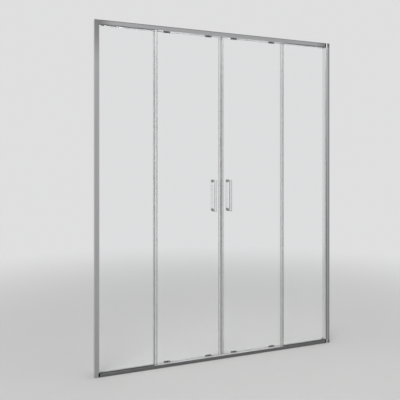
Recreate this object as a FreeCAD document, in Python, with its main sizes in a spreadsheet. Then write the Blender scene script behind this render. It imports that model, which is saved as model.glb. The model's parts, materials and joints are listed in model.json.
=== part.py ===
import FreeCAD, Part
import Sketcher
import math
import os
import re

# Sliding shower door for an alcove: two fixed panes, two sliding doors between them.
# X runs along the width, Z up, and the room is on the -Y side.
# The origin is in the middle of the bottom rail's underside.
# All lengths are in millimetres.

SIZES = [
    # Overall
    ("width", "1480", "wall to wall"),
    ("height", "1900", "tray to top of rail"),
    ("front_reach", "22", "rail front ahead of the origin"),
    ("rail_wall", "1.6", "extrusion wall of the rails"),
    # Wall profiles and jambs, reaches measured inwards from the wall
    ("profile_width", "19", "wall profile"),
    ("profile_wall", "1.6", "wall profile's metal"),
    ("wall_hole_radius", "2.75", "wall screw hole"),
    ("wall_hole_end", "120", "outer wall hole from each end"),
    ("wall_hole_inner", "670", "inner wall hole from each end"),
    ("jamb_back", "4", "back of the jamb"),
    ("jamb_reach", "26", "front edge of the jamb"),
    ("jamb_wall", "1.5", "extrusion wall of the jamb"),
    ("slide_gap", "0.3", "jamb to wall profile"),
    ("channel_floor", "13", "floor of the jamb's glazing channel"),
    ("jamb_screw_reach", "12", "jamb screws"),
    ("jamb_screw_end", "250", "outer jamb screw from each end"),
    # Corner blocks
    ("corner_reach", "32", "corner block's inner face"),
    ("corner_rise", "22", "height of the bottom corner block"),
    ("slot_drop", "4.5", "solid above the corner block's glass slot"),
    ("slot_floor_gap", "1", "fixed pane above the floor of the corner block's slot"),
    ("slot_past", "1", "glass slot's cut past the corner block's open end"),
    ("tenon_length", "12", "corner block's tenon in the rail"),
    ("tenon_height", "8", "corner block's tenon"),
    ("tenon_gap", "0.1", "tenon to rail"),
    ("tenon_rise", "0.5", "bottom tenon above the running rib"),
    # Rails
    ("fascia_drop", "25", "front of the top rail"),
    ("top_web_drop", "16", "inner web of the top rail"),
    ("sill_rise", "18.5", "front of the bottom rail"),
    ("sill_back", "14", "rear wall of the bottom rail"),
    ("rail_round", "1", "rounded outer edges of the rails"),
    ("rib_half", "1.5", "half the thickness of the running rib"),
    ("rib_rise", "2.1", "height of the running rib"),
    ("rib_round", "0.9", "bevel on the running rib"),
    ("weep_length", "24", "weep slot"),
    ("weep_height", "4", "weep slot"),
    ("weep_inner", "150", "inner weep slots from the centre"),
    ("weep_outer", "480", "outer weep slots from the centre"),
    # Fixed panes
    ("pane_inset", "6", "fixed pane behind the rail's front"),
    ("pane_glass", "5", "thickness of the fixed panes"),
    ("pane_width", "332.6", "fixed pane"),
    ("pane_side_gap", "2", "pane edge to channel floor"),
    ("pane_low", "5", "lower edge of the fixed panes"),
    ("pane_top_gap", "6", "top of the fixed panes below the rail's top"),
    ("gasket_back", "3", "rear gasket"),
    ("gasket_lip", "1.5", "gaskets' lips past the top rail and the webs"),
    ("gasket_sill_lip", "5", "front gasket's lip past the bottom rail"),
    ("gasket_bite", "15", "gaskets' depth inside the rails"),
    ("gasket_side_lip", "1.5", "side gaskets past the jamb"),
    ("gasket_tip", "1.2", "thickness of the gaskets' tips"),
    ("block_length", "24", "glazing block"),
    ("block_inset", "75", "glazing blocks from the pane's edges"),
    ("strip_width", "20", "edge strip of the fixed panes"),
    ("strip_wall", "1.4", "edge strip"),
    ("strip_fin", "7.1", "fin of the edge strip"),
    ("strip_end_gap", "1", "edge strip to the rails"),
    ("infill_gap", "1", "infill strips to the edge strips"),
    ("infill_wall", "1.6", "infill strips"),
    ("infill_sink", "0.6", "bottom infill below the sill's top"),
    ("infill_drop", "24", "top infill below the rail's top"),
    ("infill_leg", "9", "bottom infill's legs"),
    ("infill_top_leg", "14", "top infill's legs"),
    # Sliding doors, offsets measured from the centre line
    ("door_gap", "6.4", "rail web to sliding glass"),
    ("door_glass", "5", "thickness of the sliding glass"),
    ("door_low", "5", "lower edge of the sliding glass"),
    ("door_top_gap", "6", "top of the sliding glass below the rail's top"),
    ("overlap", "22", "door past the fixed pane's strip"),
    ("meeting_gap", "0.5", "door edge to the centre line"),
    ("magnet_width", "3.6", "magnet strip"),
    ("magnet_depth", "8", "magnet strip"),
    ("magnet_play", "0.05", "magnet strip in its chamber"),
    ("meeting_wall", "0.8", "skin of the meeting profile"),
    ("meeting_web", "1.1", "web between magnet and glass"),
    ("meeting_width", "17", "meeting profile"),
    ("clip_wall", "1.2", "legs of the profiles on the glass"),
    ("clip_end_gap", "2", "door profiles to the rails"),
    ("seal_fin", "6.3", "fin of the rear seal"),
    ("seal_back_leg", "13", "rear seal's leg behind the glass"),
    ("fin_gap", "1.6", "between the two fins, door closed"),
    # Rollers
    ("roller_lead", "81", "leading roller unit"),
    ("roller_inset", "80", "trailing roller unit from the door's edge"),
    ("wheel_pitch", "20", "between the two wheels of a unit"),
    ("wheel_groove", "7", "radius at the groove's floor"),
    ("wheel_flange", "8.5", "radius at the flanges"),
    ("wheel_width", "7", "wheel"),
    ("groove_floor", "1", "half the width of the groove's floor"),
    ("groove_mouth", "2.3", "half the width of the groove's mouth"),
    ("wheel_gap", "0.3", "wheel to rib"),
    ("wheel_play", "0.3", "wheel between boss and pin head"),
    ("pin_radius", "2", "axle pin"),
    ("pin_fit", "0.06", "axle pin in the wheel"),
    ("pin_head_radius", "3.4", "axle pin's head"),
    ("pin_head_thick", "1.2", "axle pin's head"),
    ("back_gap", "0.9", "pin heads to the rail's rear wall"),
    ("carrier_length", "37", "roller carrier"),
    ("carrier_thick", "4.5", "roller carrier"),
    ("carrier_neck", "31", "roller carrier beside the axles"),
    ("carrier_rise", "4.5", "roller carrier past the axles"),
    ("carrier_round", "2", "roller carrier's corners"),
    ("boss_height", "1.2", "axle boss"),
    ("boss_radius", "3.2", "axle boss"),
    ("lip_gap", "0.5", "carrier to the running lip"),
    ("screw_drop", "12.5", "top axles to clamp screws"),
    ("screw_rise", "12.8", "bottom axles to clamp screws"),
    ("plate_height", "7", "clamp plate"),
    ("plate_thick", "2.5", "clamp plate"),
    ("plate_round", "3", "clamp plate's corners"),
    ("clamp_screw_radius", "2", "clamp screw"),
    ("clamp_head_radius", "2.9", "clamp screw's head"),
    ("clamp_head_thick", "1.2", "clamp screw's head"),
    ("clamp_head_flat", "2.175", "flat top of the clamp screw's head"),
    ("clamp_end_gap", "1", "clamp screw's end inside the carrier"),
    ("hole_play", "0.1", "screws and pins in their holes"),
    ("glass_hole_radius", "3.5", "roller holes in the sliding glass"),
    # Handles
    ("handle_offset", "47.5", "handle from the centre line"),
    ("handle_level", "950", "middle of the handle"),
    ("handle_length", "185", "handle"),
    ("handle_bar", "14", "thickness of the handle's bar"),
    ("handle_width", "14", "width of the handle's bar"),
    ("handle_reach", "34", "handle out of its washers"),
    ("handle_corner", "7", "handle's outer corners"),
    ("handle_inner_corner", "4", "handle's inner corners"),
    ("handle_edge", "2.5", "handle's rounded edges"),
    ("stud_radius", "3", "handle stud"),
    ("stud_depth", "12", "stud inside the handle"),
    ("stud_end_gap", "0.5", "stud's end in its hole"),
    ("washer_thick", "1", "handle washer"),
    ("washer_radius", "6.8", "handle washer"),
    ("sleeve_radius", "5.6", "handle washer's sleeve in the glass"),
    ("sleeve_length", "2.3", "handle washer's sleeve in the glass"),
    ("handle_hole_radius", "6", "handle holes in the sliding glass"),
    # Stops, screws and caps
    ("buffer_thick", "2.5", "stop buffer"),
    ("buffer_side", "1", "stop buffer past the glass on each side"),
    ("frame_screw_radius", "1.9", "frame screw"),
    ("frame_screw_length", "8", "frame screw below its head"),
    ("frame_head_radius", "3.2", "frame screw's head"),
    ("frame_head_thick", "1.8", "frame screw's head"),
    ("frame_head_rim", "1.08", "frame screw's head at its rim"),
    ("frame_head_flat", "2.24", "flat top of the frame screw's head"),
    ("cap_radius", "5", "screw cap"),
    ("cap_wall", "0.8", "screw cap"),
    # Places that follow from the sizes above
    ("half", "=width / 2", "wall from the centre line"),
    ("corner_edge", "=half - corner_reach", "corner block's inner face"),
    ("tenon_edge", "=corner_edge - tenon_length", "tenon's end"),
    ("pane_edge", "=half - channel_floor - pane_side_gap", "fixed pane's outer edge"),
    ("pane_free", "=pane_edge - pane_width", "fixed pane's free edge"),
    ("strip_inner", "=pane_free - strip_wall", "edge strip's inner face"),
    ("strip_outer", "=strip_inner + strip_width", "edge strip's outer end"),
    ("door_edge", "=strip_inner + overlap", "door's trailing edge"),
    ("fin_place", "=strip_inner + strip_wall + fin_gap", "rear seal's fin"),
    ("roller_trail", "=door_edge - roller_inset", "trailing roller unit"),
    ("door_lead", "=meeting_gap + meeting_wall + magnet_width + meeting_web", "sliding glass's front edge"),
    ("pane_front", "=pane_inset - front_reach", "fixed pane's front"),
    ("pane_back", "=pane_front + pane_glass", "fixed pane's back"),
    ("web_front", "=pane_back + gasket_back", "rails' inner web, front"),
    ("web_back", "=web_front + rail_wall", "rails' inner web, back"),
    ("door_front", "=web_back + door_gap", "sliding glass's front"),
    ("door_back", "=door_front + door_glass", "sliding glass's back"),
    ("carrier_back", "=door_back + carrier_thick", "roller carrier's back"),
    ("boss_back", "=carrier_back + boss_height", "axle boss's end"),
    ("wheel_front", "=boss_back + wheel_play", "wheel's front"),
    ("wheel_back", "=wheel_front + wheel_width", "wheel's back"),
    ("rib_middle", "=(wheel_front + wheel_back) / 2", "middle of the running ribs"),
    ("head_front", "=wheel_back + wheel_play", "axle pin's head, front"),
    ("head_back", "=head_front + pin_head_thick", "axle pin's head, back"),
    ("rail_inside", "=head_back + back_gap", "rails' rear wall, inside"),
    ("rail_back", "=rail_inside + rail_wall", "rails' rear face"),
    ("lip_front", "=carrier_back + lip_gap", "running lip's edge"),
    ("frame_front", "=profile_wall + slide_gap - front_reach", "jamb's front face"),
    ("frame_back", "=rail_back - profile_wall - slide_gap", "jamb's rear face"),
    ("channel_front", "=frame_front + jamb_wall", "jamb's glazing channel, front"),
    ("rail_front", "=rail_wall - front_reach", "inside of the rails' front wall"),
    ("lip_top", "=height - fascia_drop + rail_wall", "top of the running lip"),
    ("top_rib", "=lip_top + rib_rise", "crest of the top rib"),
    ("low_rib", "=rail_wall + rib_rise", "crest of the bottom rib"),
    ("top_axle", "=top_rib + wheel_gap + wheel_groove", "top axles"),
    ("low_axle", "=low_rib + wheel_gap + wheel_groove", "bottom axles"),
    ("door_top", "=height - door_top_gap", "top of the sliding glass"),
    ("pane_top", "=height - pane_top_gap", "top of the fixed panes"),
    ("rail_low", "=height - fascia_drop", "underside of the top rail"),
    ("low_tenon", "=low_rib + tenon_rise", "underside of the bottom tenon"),
]

AXES = {"x": FreeCAD.Vector(1, 0, 0), "y": FreeCAD.Vector(0, 1, 0), "z": FreeCAD.Vector(0, 0, 1)}
SIGNS = (-1, 1)
SIDES = (("left", -1), ("right", 1))
# Where new sketch geometry is drawn before its formulas hold it
FIRST_RING = 50
FIRST_SPOT = 9
FIRST_RADIUS = 5
# How far an edge may be from the place or direction it is picked by
NEAR = 0.01
SLANT = 0.001

doc = FreeCAD.newDocument("SlidingShowerDoor")
sheet = doc.addObject("Spreadsheet::Sheet", "Sizes")
for row, (alias, value, meaning) in enumerate(SIZES, 1):
    sheet.set(f"A{row}", alias)
    sheet.set(f"B{row}", value)
    sheet.set(f"C{row}", meaning)
    sheet.setAlias(f"B{row}", alias)
doc.recompute()

nodes = {}


def bound(text):
    """Turn the names in a formula into references to the sheet of sizes."""
    return re.sub(r"\b[a-z_]+\b", lambda name: "Sizes." + name.group(0), str(text))


def new_body(label):
    body = doc.addObject("PartDesign::Body", "Body")
    body.Label = label
    return body


def sketch_on(body, role, offset="0"):
    """A sketch on one of the body's own planes, moved along the plane's normal."""
    sketch = body.newObject("Sketcher::SketchObject", "Sketch")
    plane = next(feature for feature in body.Origin.OriginFeatures if feature.Role == role)
    sketch.AttachmentSupport = (plane, [""])
    sketch.MapMode = "FlatFace"
    sketch.setExpression("AttachmentOffset.Base.z", bound(offset))
    return sketch


def hold(sketch, kind, geometry, point, start, size):
    """Hold a point of the sketch at a distance from its origin."""
    index = sketch.addConstraint(Sketcher.Constraint(kind, -1, 1, geometry, point, start))
    name = f"{kind}_{geometry}"
    sketch.renameConstraint(index, name)
    sketch.setExpression(f"Constraints.{name}", bound(size))


def outline(sketch, corners):
    """A closed outline whose corners are formulas."""
    first = sketch.GeometryCount
    count = len(corners)
    turns = [2 * math.pi * step / count for step in range(count)]
    spots = [FreeCAD.Vector(FIRST_RING * math.cos(turn), FIRST_RING * math.sin(turn), 0) for turn in turns]
    for step in range(count):
        sketch.addGeometry(Part.LineSegment(spots[step], spots[(step + 1) % count]))
    for step in range(count):
        ahead = first + (step + 1) % count
        sketch.addConstraint(Sketcher.Constraint("Coincident", first + step, 2, ahead, 1))
    for step, (across, up) in enumerate(corners):
        hold(sketch, "DistanceX", first + step, 1, spots[step].x, across)
        hold(sketch, "DistanceY", first + step, 1, spots[step].y, up)


def box(sketch, low_across, low_up, high_across, high_up):
    low_side = [(low_across, low_up), (high_across, low_up)]
    high_side = [(high_across, high_up), (low_across, high_up)]
    outline(sketch, low_side + high_side)


def circle(sketch, across, up, radius):
    middle = FreeCAD.Vector(FIRST_SPOT, FIRST_SPOT, 0)
    geometry = sketch.addGeometry(Part.Circle(middle, AXES["z"], FIRST_RADIUS))
    hold(sketch, "DistanceX", geometry, 3, FIRST_SPOT, across)
    hold(sketch, "DistanceY", geometry, 3, FIRST_SPOT, up)
    index = sketch.addConstraint(Sketcher.Constraint("Radius", geometry, FIRST_RADIUS))
    name = f"Radius_{geometry}"
    sketch.renameConstraint(index, name)
    sketch.setExpression(f"Constraints.{name}", bound(radius))


def pad(body, sketch, length, side="One side", back=False):
    feature = body.newObject("PartDesign::Pad", "Pad")
    feature.Profile = sketch
    feature.SideType = side
    feature.Reversed = back
    feature.setExpression("Length", bound(length))
    body.Tip = feature
    return feature


def pocket(body, sketch, length, side="One side", back=False):
    feature = body.newObject("PartDesign::Pocket", "Pocket")
    feature.Profile = sketch
    feature.SideType = side
    feature.Reversed = back
    feature.setExpression("Length", bound(length))
    body.Tip = feature
    return feature


def revolve(body, sketch):
    """Turn a sketch about its own upright axis."""
    feature = body.newObject("PartDesign::Revolution", "Revolution")
    feature.Profile = sketch
    feature.ReferenceAxis = (sketch, ["V_Axis"])
    feature.Angle = 360
    body.Tip = feature
    return feature


def straight(edge, axis):
    if not isinstance(edge.Curve, Part.Line):
        return False
    return abs(edge.Curve.Direction.dot(AXES[axis])) > 1 - SLANT


def fillet(body, radius, wanted):
    """Round the edges of the body's last feature that the test picks."""
    doc.recompute()
    base = body.Tip
    names = [f"Edge{number}" for number, edge in enumerate(base.Shape.Edges, 1) if wanted(edge)]
    feature = body.newObject("PartDesign::Fillet", "Fillet")
    feature.Base = (base, names)
    feature.setExpression("Radius", bound(radius))
    body.Tip = feature
    return feature


def place(body, x="0", y="0", z="0"):
    body.setExpression("Placement.Base.x", bound(x))
    body.setExpression("Placement.Base.y", bound(y))
    body.setExpression("Placement.Base.z", bound(z))


def group(label, bodies):
    """One node made of separate solids."""
    compound = doc.addObject("Part::Compound", "Group")
    compound.Label = label
    compound.Links = bodies
    nodes[label] = compound


def keep(body):
    nodes[body.Label] = body


def mirrored(sign, corners):
    return [(f"{sign} * ({across})", up) for across, up in corners]


def upright(label, corners, low, high, hollows=()):
    """A profile that stands along Z, drawn in plan."""
    body = new_body(label)
    sketch = sketch_on(body, "XY_Plane", low)
    outline(sketch, corners)
    for hollow in hollows:
        outline(sketch, hollow)
    pad(body, sketch, f"{high} - ({low})")
    return body


def level(label, corners, start, end):
    """A profile that lies along X, drawn across its section."""
    body = new_body(label)
    sketch = sketch_on(body, "YZ_Plane", f"(({start}) + ({end})) / 2")
    outline(sketch, corners)
    pad(body, sketch, f"({end}) - ({start})", "Symmetric")
    return body


def turned(label, profile, x, z):
    """A round piece about an axis along Y, from radius and Y of each corner."""
    body = new_body(label)
    sketch = sketch_on(body, "XY_Plane")
    outline(sketch, profile)
    revolve(body, sketch)
    place(body, x, "0", z)
    return body


def wall_profile(side, sign):
    corners = [
        ("half", "-front_reach"),
        ("half - profile_width", "-front_reach"),
        ("half - profile_width", "profile_wall - front_reach"),
        ("half - profile_wall", "profile_wall - front_reach"),
        ("half - profile_wall", "rail_back - profile_wall"),
        ("half - profile_width", "rail_back - profile_wall"),
        ("half - profile_width", "rail_back"),
        ("half", "rail_back"),
    ]
    body = upright(f"wall_profile_{side}", mirrored(sign, corners), "0", "height")
    web = sketch_on(body, "YZ_Plane", f"{sign} * (half - profile_wall / 2)")
    for up in ("wall_hole_end", "wall_hole_inner", "height - wall_hole_inner", "height - wall_hole_end"):
        circle(web, "0", up, "wall_hole_radius")
    pocket(body, web, "profile_wall * 2", "Symmetric")
    flange = sketch_on(body, "XZ_Plane", "profile_wall / 2 - rail_back")
    for up in jamb_screw_levels():
        circle(flange, f"{sign} * (half - jamb_screw_reach)", up, "frame_screw_radius + hole_play")
    pocket(body, flange, "profile_wall * 2", "Symmetric")
    keep(body)


def jamb_screw_levels():
    return ("jamb_screw_end", "height / 2", "height - jamb_screw_end")


def jamb(side, sign):
    corners = [
        ("half - jamb_back", "frame_front"),
        ("half - jamb_reach", "frame_front"),
        ("half - jamb_reach", "channel_front"),
        ("half - channel_floor", "channel_front"),
        ("half - channel_floor", "web_front"),
        ("half - jamb_reach", "web_front"),
        ("half - jamb_reach", "frame_back"),
        ("half - jamb_back", "frame_back"),
    ]
    front_hollow = [
        ("half - jamb_back - jamb_wall", "channel_front"),
        ("half - channel_floor + jamb_wall", "channel_front"),
        ("half - channel_floor + jamb_wall", "web_front"),
        ("half - jamb_back - jamb_wall", "web_front"),
    ]
    rear_hollow = [
        ("half - jamb_back - jamb_wall", "web_front + jamb_wall"),
        ("half - jamb_reach + jamb_wall", "web_front + jamb_wall"),
        ("half - jamb_reach + jamb_wall", "frame_back - jamb_wall"),
        ("half - jamb_back - jamb_wall", "frame_back - jamb_wall"),
    ]
    hollows = (mirrored(sign, front_hollow), mirrored(sign, rear_hollow))
    body = upright(f"jamb_{side}", mirrored(sign, corners), "corner_rise", "rail_low", hollows)
    rear = sketch_on(body, "XZ_Plane", "jamb_wall / 2 - frame_back")
    for up in jamb_screw_levels():
        circle(rear, f"{sign} * (half - jamb_screw_reach)", up, "frame_screw_radius + hole_play")
    pocket(body, rear, "jamb_wall * 2", "Symmetric")
    keep(body)


def rib(foot, crest, way):
    """The running rib's corners, listed towards +Y or -Y."""
    corners = [
        ("rib_middle - rib_half", foot),
        ("rib_middle - rib_half", f"{crest} - rib_round"),
        ("rib_middle - rib_half + rib_round", crest),
        ("rib_middle + rib_half - rib_round", crest),
        ("rib_middle + rib_half", f"{crest} - rib_round"),
        ("rib_middle + rib_half", foot),
    ]
    return corners if way > 0 else corners[::-1]


def rail_screw_holes(body, up):
    rear = sketch_on(body, "XZ_Plane", "rail_wall / 2 - rail_back")
    for sign in SIGNS:
        circle(rear, f"{sign} * (corner_edge - tenon_length / 2)", up, "frame_screw_radius + hole_play")
    pocket(body, rear, "rail_wall * 2", "Symmetric")


def on_front_edge(edge, front, levels):
    point = edge.CenterOfMass
    at_level = any(abs(point.z - up) < NEAR for up in levels)
    return straight(edge, "x") and abs(point.y - front) < NEAR and at_level


def top_rail():
    corners = [
        ("-front_reach", "height"),
        ("rail_back", "height"),
        ("rail_back", "rail_low"),
        ("lip_front", "rail_low"),
        ("lip_front", "lip_top"),
        *rib("lip_top", "top_rib", 1),
        ("rail_inside", "lip_top"),
        ("rail_inside", "height - rail_wall"),
        ("web_back", "height - rail_wall"),
        ("web_back", "height - top_web_drop"),
        ("web_front", "height - top_web_drop"),
        ("web_front", "height - rail_wall"),
        ("rail_front", "height - rail_wall"),
        ("rail_front", "rail_low"),
        ("-front_reach", "rail_low"),
    ]
    body = level("top_rail", corners, "-corner_edge", "corner_edge")
    rail_screw_holes(body, "height - rail_wall - tenon_height / 2")
    front = -sheet.front_reach
    top = sheet.height
    fillet(body, "rail_round", lambda edge: on_front_edge(edge, front, (top, sheet.rail_low)))
    keep(body)


def bottom_rail():
    corners = [
        ("-front_reach", "0"),
        ("rail_back", "0"),
        ("rail_back", "sill_back"),
        ("rail_inside", "sill_back"),
        ("rail_inside", "rail_wall"),
        *rib("rail_wall", "low_rib", -1),
        ("web_back", "rail_wall"),
        ("web_back", "sill_rise"),
        ("web_front", "sill_rise"),
        ("web_front", "rail_wall"),
        ("rail_front", "rail_wall"),
        ("rail_front", "sill_rise"),
        ("-front_reach", "sill_rise"),
    ]
    body = level("bottom_rail", corners, "-corner_edge", "corner_edge")
    rail_screw_holes(body, "low_tenon + tenon_height / 2")
    rear = sketch_on(body, "XZ_Plane", "rail_wall / 2 - rail_back")
    for middle in ("-weep_outer", "-weep_inner", "weep_inner", "weep_outer"):
        box(
            rear,
            f"{middle} - weep_length / 2",
            "rail_wall",
            f"{middle} + weep_length / 2",
            "rail_wall + weep_height",
        )
    pocket(body, rear, "rail_wall * 2", "Symmetric")
    front = -sheet.front_reach
    fillet(body, "rail_round", lambda edge: on_front_edge(edge, front, (sheet.sill_rise,)))
    keep(body)


def corner_block(sign, low, high, slot_low, slot_high, tenon_low, tenon_high):
    """A corner block: body inside the wall profile, slot for the pane, tenon in the rail."""
    body = new_body("corner_block")
    wallward = sign < 0
    face = sketch_on(body, "YZ_Plane", f"{sign} * corner_edge")
    box(face, "frame_front", low, "frame_back", high)
    pad(body, face, "corner_reach - jamb_back", back=wallward)
    slot = sketch_on(body, "YZ_Plane", f"{sign} * corner_edge")
    box(slot, "channel_front", slot_low, "web_front", slot_high)
    pocket(body, slot, "corner_reach - channel_floor", back=not wallward)
    tenon = sketch_on(body, "YZ_Plane", f"{sign} * corner_edge")
    box(tenon, "web_back + tenon_gap", tenon_low, "rail_inside - tenon_gap", tenon_high)
    pad(body, tenon, "tenon_length", back=not wallward)
    rear = sketch_on(body, "XZ_Plane", "-rail_inside")
    middle = f"({tenon_low} + {tenon_high}) / 2"
    circle(rear, f"{sign} * (corner_edge - tenon_length / 2)", middle, "frame_screw_radius + hole_play")
    pocket(body, rear, "frame_screw_length * 2", "Symmetric")
    return body


def corner_blocks():
    top = []
    low = []
    for sign in SIGNS:
        top.append(
            corner_block(
                sign,
                "rail_low",
                "height",
                "rail_low - slot_past",
                "height - slot_drop",
                "(height - rail_wall - tenon_height)",
                "(height - rail_wall)",
            )
        )
        low.append(
            corner_block(
                sign,
                "0",
                "corner_rise",
                "pane_low - slot_floor_gap",
                "corner_rise + slot_past",
                "low_tenon",
                "(low_tenon + tenon_height)",
            )
        )
    group("corner_blocks_top", top)
    group("corner_blocks_bottom", low)


def fixed_glass(side, sign):
    body = new_body(f"fixed_glass_{side}")
    face = sketch_on(body, "XZ_Plane", "-pane_front")
    box(face, f"{sign} * pane_free", "pane_low", f"{sign} * pane_edge", "pane_top")
    pad(body, face, "pane_glass", back=True)
    keep(body)


def pane_gaskets():
    strips = []
    top_front = [
        ("rail_front", "rail_low + gasket_bite"),
        ("pane_front", "rail_low + gasket_bite"),
        ("pane_front", "rail_low - gasket_lip"),
        ("pane_front - gasket_tip", "rail_low - gasket_lip"),
        ("rail_front", "rail_low"),
    ]
    top_rear = [
        ("pane_back", "rail_low + gasket_bite"),
        ("web_front", "rail_low + gasket_bite"),
        ("web_front", "height - top_web_drop"),
        ("pane_back + gasket_tip", "height - top_web_drop - gasket_lip"),
        ("pane_back", "height - top_web_drop - gasket_lip"),
    ]
    low_front = [
        ("rail_front", "sill_rise - gasket_bite + rail_wall"),
        ("pane_front", "sill_rise - gasket_bite + rail_wall"),
        ("pane_front", "sill_rise + gasket_sill_lip"),
        ("pane_front - gasket_tip", "sill_rise + gasket_sill_lip"),
        ("rail_front", "sill_rise"),
    ]
    low_rear = [
        ("pane_back", "sill_rise - gasket_bite + rail_wall"),
        ("web_front", "sill_rise - gasket_bite + rail_wall"),
        ("web_front", "sill_rise"),
        ("pane_back + gasket_tip", "sill_rise + gasket_lip"),
        ("pane_back", "sill_rise + gasket_lip"),
    ]
    side_front = [
        ("half - channel_floor - pane_side_gap", "channel_front"),
        ("half - jamb_reach", "channel_front"),
        ("half - jamb_reach - gasket_side_lip", "pane_front - gasket_tip"),
        ("half - jamb_reach - gasket_side_lip", "pane_front"),
        ("half - channel_floor - pane_side_gap", "pane_front"),
    ]
    side_rear = [
        ("half - channel_floor - pane_side_gap", "web_front"),
        ("half - jamb_reach", "web_front"),
        ("half - jamb_reach - gasket_side_lip", "pane_back + gasket_tip"),
        ("half - jamb_reach - gasket_side_lip", "pane_back"),
        ("half - channel_floor - pane_side_gap", "pane_back"),
    ]
    for sign in SIGNS:
        for section in (top_front, top_rear, low_front, low_rear):
            start, end = ("strip_outer", "corner_edge") if sign > 0 else ("-corner_edge", "-strip_outer")
            strips.append(level("gasket", section, start, end))
        for section in (side_front, side_rear):
            strips.append(upright("gasket", mirrored(sign, section), "corner_rise", "rail_low"))
    group("pane_gaskets", strips)


def glazing_blocks():
    blocks = []
    for sign in SIGNS:
        for middle in ("pane_free + block_inset", "pane_edge - block_inset"):
            body = new_body("glazing_block")
            face = sketch_on(body, "XZ_Plane", "-pane_front")
            box(face, "-block_length / 2", "rail_wall", "block_length / 2", "pane_low")
            pad(body, face, "pane_glass", back=True)
            place(body, f"{sign} * ({middle})")
            blocks.append(body)
    group("glazing_blocks", blocks)


def edge_strips():
    strips = []
    channel = [
        ("strip_inner", "pane_front - strip_wall"),
        ("strip_outer", "pane_front - strip_wall"),
        ("strip_outer", "pane_front"),
        ("pane_free", "pane_front"),
        ("pane_free", "pane_back"),
        ("strip_outer", "pane_back"),
        ("strip_outer", "pane_back + strip_wall"),
        ("strip_inner", "pane_back + strip_wall"),
    ]
    for sign in SIGNS:
        low = "sill_rise + strip_end_gap"
        body = upright("edge_strip", mirrored(sign, channel), low, "rail_low - strip_end_gap")
        fin = sketch_on(body, "XY_Plane", "low_axle + screw_rise + plate_height")
        near = f"{sign} * strip_inner"
        far = f"{sign} * pane_free"
        box(fin, near, "pane_back + strip_wall / 2", far, "pane_back + strip_wall + strip_fin")
        pad(body, fin, "top_axle - low_axle - screw_drop - screw_rise - 2 * plate_height")
        strips.append(body)
    group("fixed_edge_strips", strips)


def infill_strips():
    top = [
        ("rail_front", "height - infill_drop"),
        ("web_front", "height - infill_drop"),
        ("web_front", "height - infill_drop + infill_top_leg"),
        ("web_front - infill_wall", "height - infill_drop + infill_top_leg"),
        ("web_front - infill_wall", "height - infill_drop + infill_wall"),
        ("rail_front + infill_wall", "height - infill_drop + infill_wall"),
        ("rail_front + infill_wall", "height - infill_drop + infill_top_leg"),
        ("rail_front", "height - infill_drop + infill_top_leg"),
    ]
    low = [
        ("rail_front", "sill_rise - infill_sink"),
        ("web_front", "sill_rise - infill_sink"),
        ("web_front", "sill_rise - infill_sink - infill_leg"),
        ("web_front - infill_wall", "sill_rise - infill_sink - infill_leg"),
        ("web_front - infill_wall", "sill_rise - infill_sink - infill_wall"),
        ("rail_front + infill_wall", "sill_rise - infill_sink - infill_wall"),
        ("rail_front + infill_wall", "sill_rise - infill_sink - infill_leg"),
        ("rail_front", "sill_rise - infill_sink - infill_leg"),
    ]
    end = "strip_inner - infill_gap"
    keep(level("top_infill", top, f"-({end})", end))
    keep(level("bottom_infill", low, f"-({end})", end))


def stop_buffers():
    buffers = []
    low_high = ("low_tenon", "low_tenon + tenon_height")
    top_high = ("height - rail_wall - tenon_height", "height - rail_wall - buffer_thick")
    for sign in SIGNS:
        for low, high in (low_high, top_high):
            body = new_body("stop_buffer")
            face = sketch_on(body, "YZ_Plane", f"{sign} * tenon_edge")
            box(face, "door_front - buffer_side", low, "door_back + buffer_side", high)
            pad(body, face, "buffer_thick", back=sign > 0)
            buffers.append(body)
    group("stop_buffers", buffers)


def frame_screws():
    screws = []
    caps = []
    shank = [
        ("0", "rail_back - frame_screw_length"),
        ("frame_screw_radius", "rail_back - frame_screw_length"),
        ("frame_screw_radius", "rail_back"),
        ("frame_head_radius", "rail_back"),
        ("frame_head_radius", "rail_back + frame_head_rim"),
        ("frame_head_flat", "rail_back + frame_head_thick"),
        ("0", "rail_back + frame_head_thick"),
    ]
    cap = [
        ("0", "rail_back + frame_head_thick"),
        ("frame_head_radius + cap_wall", "rail_back + frame_head_thick"),
        ("frame_head_radius + cap_wall", "rail_back"),
        ("cap_radius", "rail_back"),
        ("cap_radius", "rail_back + cap_wall"),
        ("cap_radius - cap_wall", "rail_back + frame_head_thick + cap_wall"),
        ("0", "rail_back + frame_head_thick + cap_wall"),
    ]
    for sign in SIGNS:
        spots = [(f"{sign} * (half - jamb_screw_reach)", up) for up in jamb_screw_levels()]
        rail_end = f"{sign} * (corner_edge - tenon_length / 2)"
        spots.append((rail_end, "low_tenon + tenon_height / 2"))
        spots.append((rail_end, "height - rail_wall - tenon_height / 2"))
        for x, z in spots:
            screws.append(turned("frame_screw", shank, x, z))
            caps.append(turned("screw_cap", cap, x, z))
    group("frame_screws", screws)
    group("screw_caps", caps)


def unit_places():
    """Roller units of one door: offset along X, axle level, way and distance to the clamp screws."""
    places = []
    for offset in ("roller_lead", "roller_trail"):
        places.append((offset, "top_axle", -1, "screw_drop"))
        places.append((offset, "low_axle", 1, "screw_rise"))
    return places


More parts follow.
